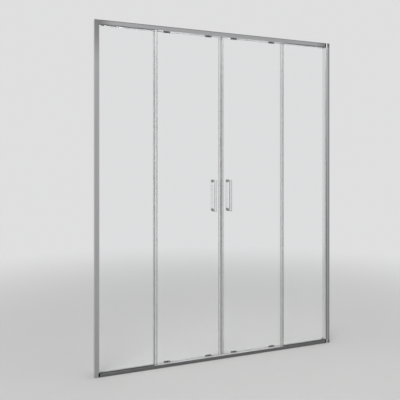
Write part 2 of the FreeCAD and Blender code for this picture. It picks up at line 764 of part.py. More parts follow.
def sliding_glass(side, sign):
    body = new_body(f"sliding_glass_{side}")
    face = sketch_on(body, "XZ_Plane", "-door_front")
    box(face, f"{sign} * door_lead", "door_low", f"{sign} * (door_edge - clip_wall)", "door_top")
    pad(body, face, "door_glass", back=True)
    holes = sketch_on(body, "XZ_Plane", "-door_front - door_glass / 2")
    for offset, axle, way, reach in unit_places():
        for step in SIGNS:
            across = f"{sign} * ({offset} + {step} * wheel_pitch / 2)"
            circle(holes, across, f"{axle} + {way} * {reach}", "glass_hole_radius")
    for step in SIGNS:
        up = f"handle_level + {step} * (handle_length - handle_bar) / 2"
        circle(holes, f"{sign} * handle_offset", up, "handle_hole_radius")
    pocket(body, holes, "door_glass * 2", "Symmetric")
    keep(body)


def meeting_profile(side, sign):
    face = "meeting_gap + meeting_wall + magnet_width + meeting_web"
    deep = "(door_front + door_back - magnet_depth) / 2"
    high = "(door_front + door_back + magnet_depth) / 2"
    corners = [
        ("meeting_gap", f"{deep} - meeting_wall"),
        (face, f"{deep} - meeting_wall"),
        (face, "door_front - clip_wall"),
        ("meeting_gap + meeting_width", "door_front - clip_wall"),
        ("meeting_gap + meeting_width", "door_front"),
        (face, "door_front"),
        (face, "door_back"),
        ("meeting_gap + meeting_width", "door_back"),
        ("meeting_gap + meeting_width", "door_back + clip_wall"),
        (face, "door_back + clip_wall"),
        (face, f"{high} + meeting_wall"),
        ("meeting_gap", f"{high} + meeting_wall"),
    ]
    chamber = [
        ("meeting_gap + meeting_wall", deep),
        ("meeting_gap + meeting_wall + magnet_width", deep),
        ("meeting_gap + meeting_wall + magnet_width", high),
        ("meeting_gap + meeting_wall", high),
    ]
    magnet = [
        ("meeting_gap + meeting_wall + magnet_play", f"{deep} + magnet_play"),
        ("meeting_gap + meeting_wall + magnet_width - magnet_play", f"{deep} + magnet_play"),
        ("meeting_gap + meeting_wall + magnet_width - magnet_play", f"{high} - magnet_play"),
        ("meeting_gap + meeting_wall + magnet_play", f"{high} - magnet_play"),
    ]
    low = "sill_rise + clip_end_gap"
    top = "rail_low - clip_end_gap"
    keep(upright(f"meeting_profile_{side}", mirrored(sign, corners), low, top, [mirrored(sign, chamber)]))
    keep(upright(f"magnet_strip_{side}", mirrored(sign, magnet), low, top))


def rear_seal(side, sign):
    corners = [
        ("fin_place", "door_front - clip_wall - seal_fin"),
        ("fin_place + clip_wall", "door_front - clip_wall - seal_fin"),
        ("fin_place + clip_wall", "door_front - clip_wall"),
        ("door_edge", "door_front - clip_wall"),
        ("door_edge", "door_back + clip_wall"),
        ("door_edge - seal_back_leg", "door_back + clip_wall"),
        ("door_edge - seal_back_leg", "door_back"),
        ("door_edge - clip_wall", "door_back"),
        ("door_edge - clip_wall", "door_front"),
        ("fin_place", "door_front"),
    ]
    low = "sill_rise + clip_end_gap"
    top = "rail_low - clip_end_gap"
    keep(upright(f"rear_seal_{side}", mirrored(sign, corners), low, top))


def handle(label, sign, foot, way):
    """A C-shaped bar handle that stands out of the glass towards -Y or +Y."""
    body = new_body(label)
    outer = f"{foot} + {way} * handle_reach"
    inner = f"{foot} + {way} * (handle_reach - handle_bar)"
    corners = [
        (foot, "-handle_length / 2"),
        (outer, "-handle_length / 2"),
        (outer, "handle_length / 2"),
        (foot, "handle_length / 2"),
        (foot, "handle_length / 2 - handle_bar"),
        (inner, "handle_length / 2 - handle_bar"),
        (inner, "handle_bar - handle_length / 2"),
        (foot, "handle_bar - handle_length / 2"),
    ]
    sketch = sketch_on(body, "YZ_Plane")
    outline(sketch, corners)
    bar = pad(body, sketch, "handle_width", "Symmetric")
    doc.recompute()
    grip = way * max(way * vertex.Point.y for vertex in bar.Shape.Vertexes)
    palm = grip - way * sheet.handle_bar
    seat = grip - way * sheet.handle_reach

    def across(edge, depth):
        return straight(edge, "x") and abs(edge.CenterOfMass.y - depth) < NEAR

    def rim(edge):
        point = edge.CenterOfMass
        return abs(abs(point.x) - sheet.handle_width / 2) < NEAR and abs(point.y - seat) > NEAR

    fillet(body, "handle_corner", lambda edge: across(edge, grip))
    fillet(body, "handle_inner_corner", lambda edge: across(edge, palm))
    fillet(body, "handle_edge", rim)
    holes = sketch_on(body, "XZ_Plane", f"-({foot})")
    for step in SIGNS:
        circle(holes, "0", f"{step} * (handle_length - handle_bar) / 2", "stud_radius + hole_play")
    pocket(body, holes, "2 * (stud_depth + stud_end_gap)", "Symmetric")
    place(body, f"{sign} * handle_offset", "0", "handle_level")
    keep(body)


def handles(side, sign):
    handle(f"handle_outer_{side}", sign, "door_front - washer_thick", -1)
    handle(f"handle_inner_{side}", sign, "door_back + washer_thick", 1)
    stud = [
        ("0", "door_front - washer_thick - stud_depth"),
        ("stud_radius", "door_front - washer_thick - stud_depth"),
        ("stud_radius", "door_back + washer_thick + stud_depth"),
        ("0", "door_back + washer_thick + stud_depth"),
    ]
    studs = []
    washers = []
    for step in SIGNS:
        x = f"{sign} * handle_offset"
        z = f"handle_level + {step} * (handle_length - handle_bar) / 2"
        studs.append(turned("handle_stud", stud, x, z))
        for glass, way in (("door_front", -1), ("door_back", 1)):
            washer = [
                ("stud_radius + hole_play", f"{glass} + {way} * washer_thick"),
                ("washer_radius", f"{glass} + {way} * washer_thick"),
                ("washer_radius", glass),
                ("sleeve_radius", glass),
                ("sleeve_radius", f"{glass} - {way} * sleeve_length"),
                ("stud_radius + hole_play", f"{glass} - {way} * sleeve_length"),
            ]
            washers.append(turned("handle_washer", washer, x, z))
    group(f"handle_studs_{side}", studs)
    group(f"handle_washers_{side}", washers)


def carrier(x, axle, way, reach):
    """A roller carrier: a bar behind the clamp plate and a neck with two axle bosses."""
    body = new_body("roller_carrier")
    bar_far = f"{way} * ({reach} + plate_height / 2)"
    bar_near = f"{way} * ({reach} - plate_height / 2)"
    corners = [
        ("-carrier_length / 2", bar_far),
        ("carrier_length / 2", bar_far),
        ("carrier_length / 2", bar_near),
        ("carrier_neck / 2", f"{way} * ({reach} - plate_height) / 2"),
        ("carrier_neck / 2", f"{-way} * carrier_rise"),
        ("-carrier_neck / 2", f"{-way} * carrier_rise"),
        ("-carrier_neck / 2", f"{way} * ({reach} - plate_height) / 2"),
        ("-carrier_length / 2", bar_near),
    ]
    face = sketch_on(body, "XZ_Plane", "-door_back")
    outline(face, corners)
    pad(body, face, "carrier_thick", back=True)
    fillet(body, "carrier_round", lambda edge: straight(edge, "y"))
    bosses = sketch_on(body, "XZ_Plane", "-carrier_back")
    for step in SIGNS:
        circle(bosses, f"{step} * wheel_pitch / 2", "0", "boss_radius")
    pad(body, bosses, "boss_height", back=True)
    holes = sketch_on(body, "XZ_Plane", "-carrier_back")
    for step in SIGNS:
        circle(holes, f"{step} * wheel_pitch / 2", "0", "pin_radius + hole_play")
        circle(holes, f"{step} * wheel_pitch / 2", f"{way} * {reach}", "clamp_screw_radius + hole_play")
    pocket(body, holes, "carrier_thick * 2 + boss_height * 2", "Symmetric")
    place(body, x, "0", axle)
    return body


def clamp_plate(x, z):
    body = new_body("clamp_plate")
    face = sketch_on(body, "XZ_Plane", "-door_front")
    box(face, "-carrier_length / 2", "-plate_height / 2", "carrier_length / 2", "plate_height / 2")
    pad(body, face, "plate_thick")
    fillet(body, "plate_round", lambda edge: straight(edge, "y"))
    holes = sketch_on(body, "XZ_Plane", "plate_thick / 2 - door_front")
    for step in SIGNS:
        circle(holes, f"{step} * wheel_pitch / 2", "0", "clamp_screw_radius + hole_play")
    pocket(body, holes, "plate_thick * 2", "Symmetric")
    place(body, x, "0", z)
    return body


def rollers(side, sign):
    pin = [
        ("0", "door_back"),
        ("pin_radius", "door_back"),
        ("pin_radius", "head_front"),
        ("pin_head_radius", "head_front"),
        ("pin_head_radius", "head_back"),
        ("0", "head_back"),
    ]
    head = "door_front - plate_thick"
    screw = [
        ("0", f"{head} - clamp_head_thick"),
        ("clamp_head_flat", f"{head} - clamp_head_thick"),
        ("clamp_head_radius", f"{head} - clamp_head_thick / 2"),
        ("clamp_head_radius", head),
        ("clamp_screw_radius", head),
        ("clamp_screw_radius", "carrier_back - clamp_end_gap"),
        ("0", "carrier_back - clamp_end_gap"),
    ]
    bore = "pin_radius + pin_fit"
    wheel = [
        (bore, "wheel_front"),
        ("wheel_flange", "wheel_front"),
        ("wheel_flange", "rib_middle - groove_mouth"),
        ("wheel_groove", "rib_middle - groove_floor"),
        ("wheel_groove", "rib_middle + groove_floor"),
        ("wheel_flange", "rib_middle + groove_mouth"),
        ("wheel_flange", "wheel_back"),
        (bore, "wheel_back"),
    ]
    carriers = []
    plates = []
    screws = []
    pins = []
    for offset, axle, way, reach in unit_places():
        carriers.append(carrier(f"{sign} * {offset}", axle, way, reach))
        plates.append(clamp_plate(f"{sign} * {offset}", f"{axle} + {way} * {reach}"))
        shelf = "top" if way < 0 else "bottom"
        first = 1 if offset == "roller_lead" else 3
        for step in SIGNS:
            x = f"{sign} * ({offset} + {step} * wheel_pitch / 2)"
            screws.append(turned("clamp_screw", screw, x, f"{axle} + {way} * {reach}"))
            pins.append(turned("axle_pin", pin, x, axle))
            number = first + (step + 1) // 2
            keep(turned(f"wheel_{side}_{shelf}_{number}", wheel, x, axle))
    group(f"roller_carriers_{side}", carriers)
    group(f"clamp_plates_{side}", plates)
    group(f"clamp_screws_{side}", screws)
    group(f"axle_pins_{side}", pins)


for side, sign in SIDES:
    wall_profile(side, sign)
    jamb(side, sign)
    fixed_glass(side, sign)
top_rail()
bottom_rail()
corner_blocks()
pane_gaskets()
glazing_blocks()
edge_strips()
infill_strips()
stop_buffers()
frame_screws()
for side, sign in SIDES:
    sliding_glass(side, sign)
    meeting_profile(side, sign)
    rear_seal(side, sign)
    handles(side, sign)
    rollers(side, sign)

doc.recompute()
for item in doc.Objects:
    if "Invalid" in item.State or "Error" in item.State:
        raise RuntimeError(f"{item.Label} did not build: {item.State}")
for label, item in nodes.items():
    if item.Shape.isNull() or not item.Shape.isValid():
        raise RuntimeError(f"{label} has no valid shape")

os.makedirs("parts", exist_ok=True)
for label, item in nodes.items():
    item.Shape.exportStep(f"parts/{label}.step")
print(len(nodes), "nodes written")
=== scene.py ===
import json
import math

import bmesh
import bpy
from mathutils import Matrix, Vector

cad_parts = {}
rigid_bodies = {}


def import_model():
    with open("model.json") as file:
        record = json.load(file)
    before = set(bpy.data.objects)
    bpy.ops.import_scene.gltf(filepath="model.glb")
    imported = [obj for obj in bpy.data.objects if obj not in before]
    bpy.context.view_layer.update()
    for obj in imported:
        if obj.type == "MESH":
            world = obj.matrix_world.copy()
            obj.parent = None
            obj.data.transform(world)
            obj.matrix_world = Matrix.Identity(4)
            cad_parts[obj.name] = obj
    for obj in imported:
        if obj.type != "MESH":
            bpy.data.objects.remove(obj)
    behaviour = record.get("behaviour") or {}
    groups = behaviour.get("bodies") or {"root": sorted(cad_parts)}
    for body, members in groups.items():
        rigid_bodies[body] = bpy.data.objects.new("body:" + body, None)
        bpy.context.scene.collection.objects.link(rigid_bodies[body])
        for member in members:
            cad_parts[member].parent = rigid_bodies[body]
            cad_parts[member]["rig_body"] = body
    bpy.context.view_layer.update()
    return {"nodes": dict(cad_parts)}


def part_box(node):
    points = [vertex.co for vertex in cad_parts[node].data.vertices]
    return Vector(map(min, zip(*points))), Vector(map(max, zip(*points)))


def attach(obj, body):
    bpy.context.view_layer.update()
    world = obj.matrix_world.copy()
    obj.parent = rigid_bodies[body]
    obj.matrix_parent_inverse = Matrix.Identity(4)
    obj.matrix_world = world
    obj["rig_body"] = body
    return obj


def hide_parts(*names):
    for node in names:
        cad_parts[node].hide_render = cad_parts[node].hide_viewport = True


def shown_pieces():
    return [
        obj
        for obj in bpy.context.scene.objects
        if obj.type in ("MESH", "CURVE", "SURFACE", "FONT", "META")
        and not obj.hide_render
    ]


# Looks of a sliding shower door for an alcove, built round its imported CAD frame.
# Metres throughout. X runs along the width, Z up, and the room is on the -Y side.

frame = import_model()

SIGNS = {"left": -1.0, "right": 1.0}
MM = 0.001
AXES = {"x": Vector((1.0, 0.0, 0.0)), "y": Vector((0.0, 1.0, 0.0)), "z": Vector((0.0, 0.0, 1.0))}

# Camera, fitted to the photograph: its turn in degrees, its lens and sensor in mm
CAMERA_PLACE = (-1.151, -2.657, 1.126)
CAMERA_TURN = 20.96
CAMERA_LENS = 44.4
CAMERA_SENSOR = 36.0
CAMERA_SHIFT = -0.0866

# Studio
BACKDROP_TONE = 0.74
SOFT_LIGHT = 0.55
FLOOR_TONE = (0.58, 0.58, 0.575)
FLOOR_MOTTLE = 1.03
FLOOR_DULLNESS = 0.8
FLOOR_HALF = 30.0
FLOOR_DROP = 0.5 * MM
FLOOR_NEAR = 0.9
FLOOR_FAR = 4.2
CARD_TONES = (0.02, 0.03)
CARD_DULLNESS = 0.9


# Small helpers for node trees


def link(tree, source, target):
    tree.links.new(source, target)


def shader_group(name, inputs, outputs):
    """A shader node group with named sockets; each input is (name, kind, default)."""
    tree = bpy.data.node_groups.new(name, "ShaderNodeTree")
    for label, kind, default in inputs:
        socket = tree.interface.new_socket(label, in_out="INPUT", socket_type=kind)
        if default is not None:
            socket.default_value = default
    for label, kind in outputs:
        tree.interface.new_socket(label, in_out="OUTPUT", socket_type=kind)
    entry = tree.nodes.new("NodeGroupInput")
    leave = tree.nodes.new("NodeGroupOutput")
    return tree, entry, leave


def math_node(tree, operation, first, second):
    """A Math node whose inputs are sockets or plain numbers."""
    node = tree.nodes.new("ShaderNodeMath")
    node.operation = operation
    for index, value in enumerate((first, second)):
        if isinstance(value, bpy.types.NodeSocket):
            link(tree, value, node.inputs[index])
        else:
            node.inputs[index].default_value = value
    return node.outputs["Value"]


def weighted(tree, value, weight, base):
    """A value times its weight, on top of a base that is a socket or a plain number."""
    return math_node(tree, "ADD", math_node(tree, "MULTIPLY", value, weight), base)


def ranged(tree, value, low, high, new_low=0.0, new_high=1.0):
    """Map a value from one range to another, smoothly."""
    node = tree.nodes.new("ShaderNodeMapRange")
    node.interpolation_type = "SMOOTHSTEP"
    link(tree, value, node.inputs["Value"])
    node.inputs["From Min"].default_value = low
    node.inputs["From Max"].default_value = high
    node.inputs["To Min"].default_value = new_low
    node.inputs["To Max"].default_value = new_high
    return node.outputs["Result"]


def tinted(tree, factor, first, second):
    """A colour between two tones, by a mask."""
    node = tree.nodes.new("ShaderNodeMix")
    node.data_type = "RGBA"
    link(tree, factor, node.inputs["Factor"])
    node.inputs["A"].default_value = (*first, 1.0)
    node.inputs["B"].default_value = (*second, 1.0)
    return node.outputs["Result"]


def noise(tree, vector, scale, detail, roughness=0.5, distortion=0.0):
    node = tree.nodes.new("ShaderNodeTexNoise")
    link(tree, vector, node.inputs["Vector"])
    if isinstance(scale, bpy.types.NodeSocket):
        link(tree, scale, node.inputs["Scale"])
    else:
        node.inputs["Scale"].default_value = scale
    node.inputs["Detail"].default_value = detail
    node.inputs["Roughness"].default_value = roughness
    node.inputs["Distortion"].default_value = distortion
    return node.outputs["Fac"]


# Shared effects

BROAD_SHARE = 0.55
FINE_SHARE = 0.45
PATCHES_PER_METRE = 35.0
HAIR_LINES = {"Scale": 420.0, "Distortion": 9.0, "Detail": 3.0}


def drawn_lines_group():
    """Fine lines that the die leaves along an extrusion, and the broad waves under them."""
    tree, entry, leave = shader_group(
        "drawn_lines",
        [
            ("Place", "NodeSocketVector", None),
            ("Lines Per Metre", "NodeSocketVector", (1.0, 1.0, 1.0)),
        ],
        [("Lines", "NodeSocketFloat"), ("Height", "NodeSocketFloat")],
    )
    stretched = tree.nodes.new("ShaderNodeVectorMath")
    stretched.operation = "MULTIPLY"
    link(tree, entry.outputs["Place"], stretched.inputs[0])
    link(tree, entry.outputs["Lines Per Metre"], stretched.inputs[1])
    broad = noise(tree, stretched.outputs["Vector"], scale=1.0, detail=2.0)
    fine = noise(tree, stretched.outputs["Vector"], scale=5.0, detail=3.0, roughness=0.65)
    lines = weighted(tree, broad, BROAD_SHARE, math_node(tree, "MULTIPLY", fine, FINE_SHARE))
    link(tree, ranged(tree, lines, low=0.32, high=0.68), leave.inputs["Lines"])
    link(tree, fine, leave.inputs["Height"])
    return tree


def water_film_group():
    """Patches where water has dried: a cloudy film and small round drops."""
    tree, entry, leave = shader_group(
        "water_film",
        [
            ("Place", "NodeSocketVector", None),
            ("Film Size", "NodeSocketFloat", 6.0),
            ("Drops Per Metre", "NodeSocketFloat", 90.0),
        ],
        [("Film", "NodeSocketFloat"), ("Drops", "NodeSocketFloat")],
    )
    place = entry.outputs["Place"]
    cloud = noise(tree, place, entry.outputs["Film Size"], detail=4.0, roughness=0.6, distortion=0.8)
    link(tree, ranged(tree, cloud, low=0.42, high=0.78), leave.inputs["Film"])
    cells = tree.nodes.new("ShaderNodeTexVoronoi")
    cells.feature = "F1"
    link(tree, place, cells.inputs["Vector"])
    link(tree, entry.outputs["Drops Per Metre"], cells.inputs["Scale"])
    spots = ranged(tree, cells.outputs["Distance"], low=0.30, high=0.16)
    few = ranged(tree, cloud, low=0.50, high=0.66)
    link(tree, math_node(tree, "MULTIPLY", spots, few), leave.inputs["Drops"])
    return tree


def moulded_grain_group():
    """The faint spark-eroded grain of moulded plastic and rubber."""
    tree, entry, leave = shader_group(
        "moulded_grain",
        [("Place", "NodeSocketVector", None), ("Grains Per Metre", "NodeSocketFloat", 2500.0)],
        [("Shade", "NodeSocketFloat"), ("Height", "NodeSocketFloat")],
    )
    place = entry.outputs["Place"]
    grain = noise(tree, place, entry.outputs["Grains Per Metre"], detail=2.0, roughness=0.6)
    patch = noise(tree, place, PATCHES_PER_METRE, detail=3.0, roughness=0.55)
    link(tree, ranged(tree, patch, low=0.35, high=0.65), leave.inputs["Shade"])
    link(tree, grain, leave.inputs["Height"])
    return tree


def polish_marks_group():
    """Hair scratches and finger marks on bright metal."""
    tree, entry, leave = shader_group(
        "polish_marks",
        [("Place", "NodeSocketVector", None), ("Marks Per Metre", "NodeSocketFloat", 60.0)],
        [("Marks", "NodeSocketFloat"), ("Height", "NodeSocketFloat")],
    )
    place = entry.outputs["Place"]
    smear = noise(tree, place, entry.outputs["Marks Per Metre"], detail=4.0, roughness=0.6, distortion=1.2)
    hair = tree.nodes.new("ShaderNodeTexWave")
    hair.wave_type = "BANDS"
    link(tree, place, hair.inputs["Vector"])
    for label, value in HAIR_LINES.items():
        hair.inputs[label].default_value = value
    link(tree, ranged(tree, smear, low=0.40, high=0.72), leave.inputs["Marks"])
    link(tree, hair.outputs["Fac"], leave.inputs["Height"])
    return tree


DRAWN_LINES = drawn_lines_group()
WATER_FILM = water_film_group()
MOULDED_GRAIN = moulded_grain_group()
POLISH_MARKS = polish_marks_group()


# Materials: how strongly lines, marks, film and grain show, then the finishes

BLUE_TRACE = 1.01
GLASS_IOR = 1.5
SEAL_IOR = 1.25
LINES_ALONG_X = (1.5, 900.0, 900.0)
LINES_ALONG_Z = (900.0, 900.0, 1.5)
LINE_CONTRAST = 0.07
LINE_DULLING = 0.08
MARK_SHADE = 0.93
MARK_DULLING = 0.10
FILM_DULLING = 0.07
GLASS_FILM = 0.01
GLASS_DROPS = 0.04
SEAL_PATCH = 0.90
SEAL_DULLING = 0.06
SEAL_CLOUD = 0.01
GRAIN_DULLING = 0.10
GRAINS_PER_METRE = 2500.0
SEAL_GRAINS_PER_METRE = 900.0


def started(name):
    """A new material: its tree, its Principled shader and its Object coordinates."""
    material = bpy.data.materials.new(name)
    material.use_nodes = True
    tree = material.node_tree
    shader = tree.nodes["Principled BSDF"]
    place = tree.nodes.new("ShaderNodeTexCoord").outputs["Object"]
    return material, tree, shader, place


def placed(tree, group, place, **values):
    """An effect group in a material, with its own values."""
    node = tree.nodes.new("ShaderNodeGroup")
    node.node_tree = group
    link(tree, place, node.inputs["Place"])
    for label, value in values.items():
        node.inputs[label.replace("_", " ")].default_value = value
    return node.outputs


def bumped(tree, shader, height, strength, distance):
    node = tree.nodes.new("ShaderNodeBump")
    node.inputs["Strength"].default_value = strength
    node.inputs["Distance"].default_value = distance
    link(tree, height, node.inputs["Height"])
    link(tree, node.outputs["Normal"], shader.inputs["Normal"])


def grey(tone):
    """A grey with a trace of blue."""
    return (tone, tone, tone * BLUE_TRACE)


def shaded_along(tree, colour, place, axis, span, tones):
    """Painted light and shade: scale a colour along an axis, from one tone to the other over a span; left
    and right are alike.
    """
    parts = tree.nodes.new("ShaderNodeSeparateXYZ")
    link(tree, place, parts.inputs["Vector"])
    along = math_node(tree, "ABSOLUTE", parts.outputs[axis], 0.0)
    scaled = tree.nodes.new("ShaderNodeVectorMath")
    scaled.operation = "SCALE"
    link(tree, colour, scaled.inputs[0])
    link(tree, ranged(tree, along, *span, *tones), scaled.inputs["Scale"])
    return scaled.outputs["Vector"]


def anodised(name, tone, lines, dullness=0.30, painted_shading=None):
    """Satin anodised aluminium, with die lines along the extrusion; the optional last argument, (axis,
    span, tones), paints light and shade along the piece.
    """
    material, tree, shader, place = started(name)
    drawn = placed(tree, DRAWN_LINES, place, Lines_Per_Metre=lines)
    film = placed(tree, WATER_FILM, place, Film_Size=5.0, Drops_Per_Metre=110.0)
    dark = grey(tone * (1.0 - LINE_CONTRAST))
    light = grey(tone * (1.0 + LINE_CONTRAST))
    colour = tinted(tree, drawn["Lines"], dark, light)
    if painted_shading:
        colour = shaded_along(tree, colour, place, *painted_shading)
    link(tree, colour, shader.inputs["Base Color"])
    rough = weighted(tree, drawn["Lines"], LINE_DULLING, dullness)
    link(tree, weighted(tree, film["Film"], FILM_DULLING, rough), shader.inputs["Roughness"])
    shader.inputs["Metallic"].default_value = 1.0
    bumped(tree, shader, drawn["Height"], strength=0.06, distance=0.2 * MM)
    return material


def chrome(name, tone, dullness):
    """Polished chrome plate with finger marks."""
    material, tree, shader, place = started(name)
    marks = placed(tree, POLISH_MARKS, place, Marks_Per_Metre=55.0)
    colour = tinted(tree, marks["Marks"], grey(tone), grey(tone * MARK_SHADE))
    link(tree, colour, shader.inputs["Base Color"])
    link(tree, weighted(tree, marks["Marks"], MARK_DULLING, dullness), shader.inputs["Roughness"])
    shader.inputs["Metallic"].default_value = 1.0
    bumped(tree, shader, marks["Height"], strength=0.015, distance=0.05 * MM)
    return material


def clear_glass(name, tint):
    """Toughened clear glass, with the faint film that drying water leaves."""
    material, tree, shader, place = started(name)
    film = placed(tree, WATER_FILM, place, Film_Size=3.0, Drops_Per_Metre=160.0)
    dull = math_node(tree, "MULTIPLY", film["Drops"], GLASS_DROPS)
    link(tree, weighted(tree, film["Film"], GLASS_FILM, dull), shader.inputs["Roughness"])
    shader.inputs["Base Color"].default_value = (*tint, 1.0)
    shader.inputs["Transmission Weight"].default_value = 1.0
    shader.inputs["IOR"].default_value = GLASS_IOR
    return material


def clear_seal(name, tone, clarity, dullness):
    """Clear soft PVC, a little cloudy: thin walls that let most of the light through."""
    material, tree, shader, place = started(name)
    grain = placed(tree, MOULDED_GRAIN, place, Grains_Per_Metre=SEAL_GRAINS_PER_METRE)
    colour = tinted(tree, grain["Shade"], grey(tone), grey(tone * SEAL_PATCH))
    link(tree, colour, shader.inputs["Base Color"])
    link(tree, weighted(tree, grain["Shade"], SEAL_DULLING, dullness), shader.inputs["Roughness"])
    link(tree, weighted(tree, grain["Shade"], SEAL_CLOUD, 1.0 - clarity), shader.inputs["Alpha"])
    shader.inputs["IOR"].default_value = SEAL_IOR
    return material


def moulded(name, first, second, dullness, sheen=0.5):
    """Moulded plastic or rubber, in patches of two tones."""
    material, tree, shader, place = started(name)
    shader.inputs["Specular IOR Level"].default_value = sheen
    grain = placed(tree, MOULDED_GRAIN, place, Grains_Per_Metre=GRAINS_PER_METRE)
    link(tree, tinted(tree, grain["Shade"], first, second), shader.inputs["Base Color"])
    link(tree, weighted(tree, grain["Shade"], GRAIN_DULLING, dullness), shader.inputs["Roughness"])
    bumped(tree, shader, grain["Height"], strength=0.10, distance=0.1 * MM)
    return material


# Painted shade and light that change along a piece, as (axis, span, tones): the rail's ends and the tops of
# the left upright and jamb darker, the right ones lighter higher up
RAIL_END_SHADE = ("X", (0.63, 0.72), (1.0, 0.58))
LEFT_TOP_SHADE = ("Z", (1.65, 1.90), (1.0, 0.60))
RIGHT_UPRIGHT_LIGHT = ("Z", (0.45, 1.50), (1.0, 1.22))
RIGHT_JAMB_LIGHT = ("Z", (0.60, 1.75), (0.78, 1.50))

RAIL = anodised("anodised_rail", 0.46, LINES_ALONG_X, painted_shading=RAIL_END_SHADE)
# Painted shade: darker copies of the rail's anodising, for a line along its top edge and one along its
# lower edge over the fixed panes
RAIL_TOP_SHADE = anodised("anodised_rail_line", 0.27, LINES_ALONG_X, painted_shading=RAIL_END_SHADE)
RAIL_LOW_SHADE = anodised("anodised_rail_low", 0.16, LINES_ALONG_X, painted_shading=RAIL_END_SHADE)
# Painted shade: the sill's front is a much darker copy of the rail's anodising, standing in for the dark
# floor that it mirrors
SILL = anodised("anodised_sill", 0.19, LINES_ALONG_X)
# The left and right uprights and jambs take different tones of one anodising, as painted light and shade
UPRIGHT = {
    "left": anodised("anodised_upright_left", 0.44, LINES_ALONG_Z, painted_shading=LEFT_TOP_SHADE),
    "right": anodised("anodised_upright_right", 0.43, LINES_ALONG_Z, painted_shading=RIGHT_UPRIGHT_LIGHT),
}
# Painted shade: a darker strip along the right wall, darker still at its ends
UPRIGHT_WALL_SHADE = anodised("anodised_upright_line", 0.33, LINES_ALONG_Z)
UPRIGHT_END_SHADE = anodised("anodised_upright_end", 0.19, LINES_ALONG_Z)
# Painted light: a pale copy of the anodising for the reveals
UPRIGHT_SIDE_LIT = anodised("bright_upright", 0.82, LINES_ALONG_Z, dullness=0.14)
# Painted light: the top infill is a pale copy of the rail's anodising, so that the inside of the rail looks
# lit
TOP_INFILL_LIT = anodised("bright_infill", 0.90, LINES_ALONG_X, dullness=0.10)
JAMB = {
    "left": anodised("anodised_jamb_left", 0.46, LINES_ALONG_Z, painted_shading=LEFT_TOP_SHADE),
    "right": anodised("anodised_jamb_right", 0.37, LINES_ALONG_Z, painted_shading=RIGHT_JAMB_LIGHT),
}
CORNER = chrome("corner_plate", 0.85, 0.12)
# Painted shade: darker copies of the block chrome for the left blocks and the tenons, darker still for the
# top left block
CORNER_HALF_SHADE = chrome("corner_satin_plate", 0.42, 0.24)
CORNER_SHADE = chrome("corner_shaded_plate", 0.27, 0.24)
HANDLE = chrome("handle_plate", 0.96, 0.05)
# Painted shade: darker copies of the handle chrome for the outer grips' rims, darker on the right handle,
# and for all the arms
HANDLE_RIM_SHADE = {
    "left": chrome("handle_edge_plate", 0.72, 0.06),
    "right": chrome("handle_shade_plate", 0.56, 0.06),
}
HANDLE_ARM_SHADE = chrome("handle_arm_plate", 0.30, 0.12)
GLASS = clear_glass("toughened_glass", (0.975, 0.985, 0.98))
SEAL = clear_seal("clear_pvc", 0.60, 0.955, 0.12)
# Painted shade: darker, less clear copies of the PVC, laid in bands across the strips
SEAL_SHADE = clear_seal("clear_pvc_shaded", 0.34, 0.87, 0.12)
SEAL_DEEP_SHADE = clear_seal("clear_pvc_lip", 0.22, 0.79, 0.12)
GASKET = moulded("gasket_rubber", grey(0.045), grey(0.06), 0.55, sheen=0.2)
GASKET_GREY = moulded("gasket_grey", grey(0.065), grey(0.05), 0.50, sheen=0.2)
GASKET_PALE = moulded("gasket_pale", grey(0.55), grey(0.50), 0.45)
MAGNET = moulded("magnet_strip", grey(0.62), grey(0.56), 0.55)
# Painted light: a pale matt on the rail's inner faces, so that its deep channels look lit
RAIL_INSIDE_LIT = moulded("matt_rail_inside", grey(0.90), grey(0.86), 0.50)
# Painted light: a pale matt on the sill's inner faces, so that they look lit
SILL_INSIDE_LIT = moulded("matt_sill_inside", grey(0.64), grey(0.58), 0.50)
# Painted light: the bottom infill is a pale grey, so that its top looks lit
SILL_INFILL_LIT = moulded("sill_infill", grey(0.62), grey(0.56), 0.40, sheen=0.4)
BLOCK = moulded("glazing_block", grey(0.45), grey(0.40), 0.50)
BUFFER = moulded("stop_rubber", grey(0.46), grey(0.40), 0.60, sheen=0.3)
# Painted shadow: a near black strip on each block's front, beside the rail's end
SEAM_SHADE = moulded("corner_seam", grey(0.014), grey(0.018), 0.60, sheen=0.0)
STEEL = chrome("zinc_steel", 0.50, 0.24)
CAP = moulded("cap_plastic", grey(0.52), grey(0.48), 0.35)
CARRIER = moulded("carrier_plastic", grey(0.62), grey(0.56), 0.40)
PLATE = moulded("clamp_plastic", grey(0.055), grey(0.075), 0.38)
WHEEL = moulded("wheel_plastic", grey(0.72), grey(0.66), 0.30)
WASHER = clear_seal("washer_pvc", 0.50, 0.70, 0.15)

# Frame and door pieces: CAD shapes with their edges softened

# How near points are joined, how little a flat face turns, how much a sharp edge and a side do
WELD = 0.002 * MM
FLAT_TURN = math.radians(0.5)
SHARP_TURN = math.radians(32.0)
SIDE_TURN = 0.7

# Widths of eased edges, the shortest edges that are eased, and the hair of room beside the glass
EASED = 0.35 * MM
SLIGHT = 0.2 * MM
ARRIS = 0.6 * MM
BLOCK_ROUND = 0.5 * MM
LONG_EDGE = 60.0 * MM
BLOCK_EDGE = 4.0 * MM
SMALL_EDGE = 1.5 * MM
HAIR = 0.04 * MM

# Where one finish meets the next
SKIN = 0.6 * MM
WALL_SHADE_LINE = 729.0 * MM
LINE_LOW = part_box("corner_blocks_bottom")[1].z
LINE_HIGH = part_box("corner_blocks_top")[0].z
# Heights of the painted shade lines along the top rail's front
TOP_SHADE_LINE = 1895.5 * MM
LOW_SHADE_LINE = 1877.0 * MM
PANE_EDGE = 405.0 * MM
SEAM_EDGE = 717.0 * MM
SEAM_DEPTH = 1.0 * MM
UPPER_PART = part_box("handle_outer_left")[1].z


def hung(piece, body, slot, *nodes):
    """A finished piece rides on its body and stands for its CAD nodes, which it hides; its slot is not
    used.
    """
    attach(piece, body)
    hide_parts(*nodes)


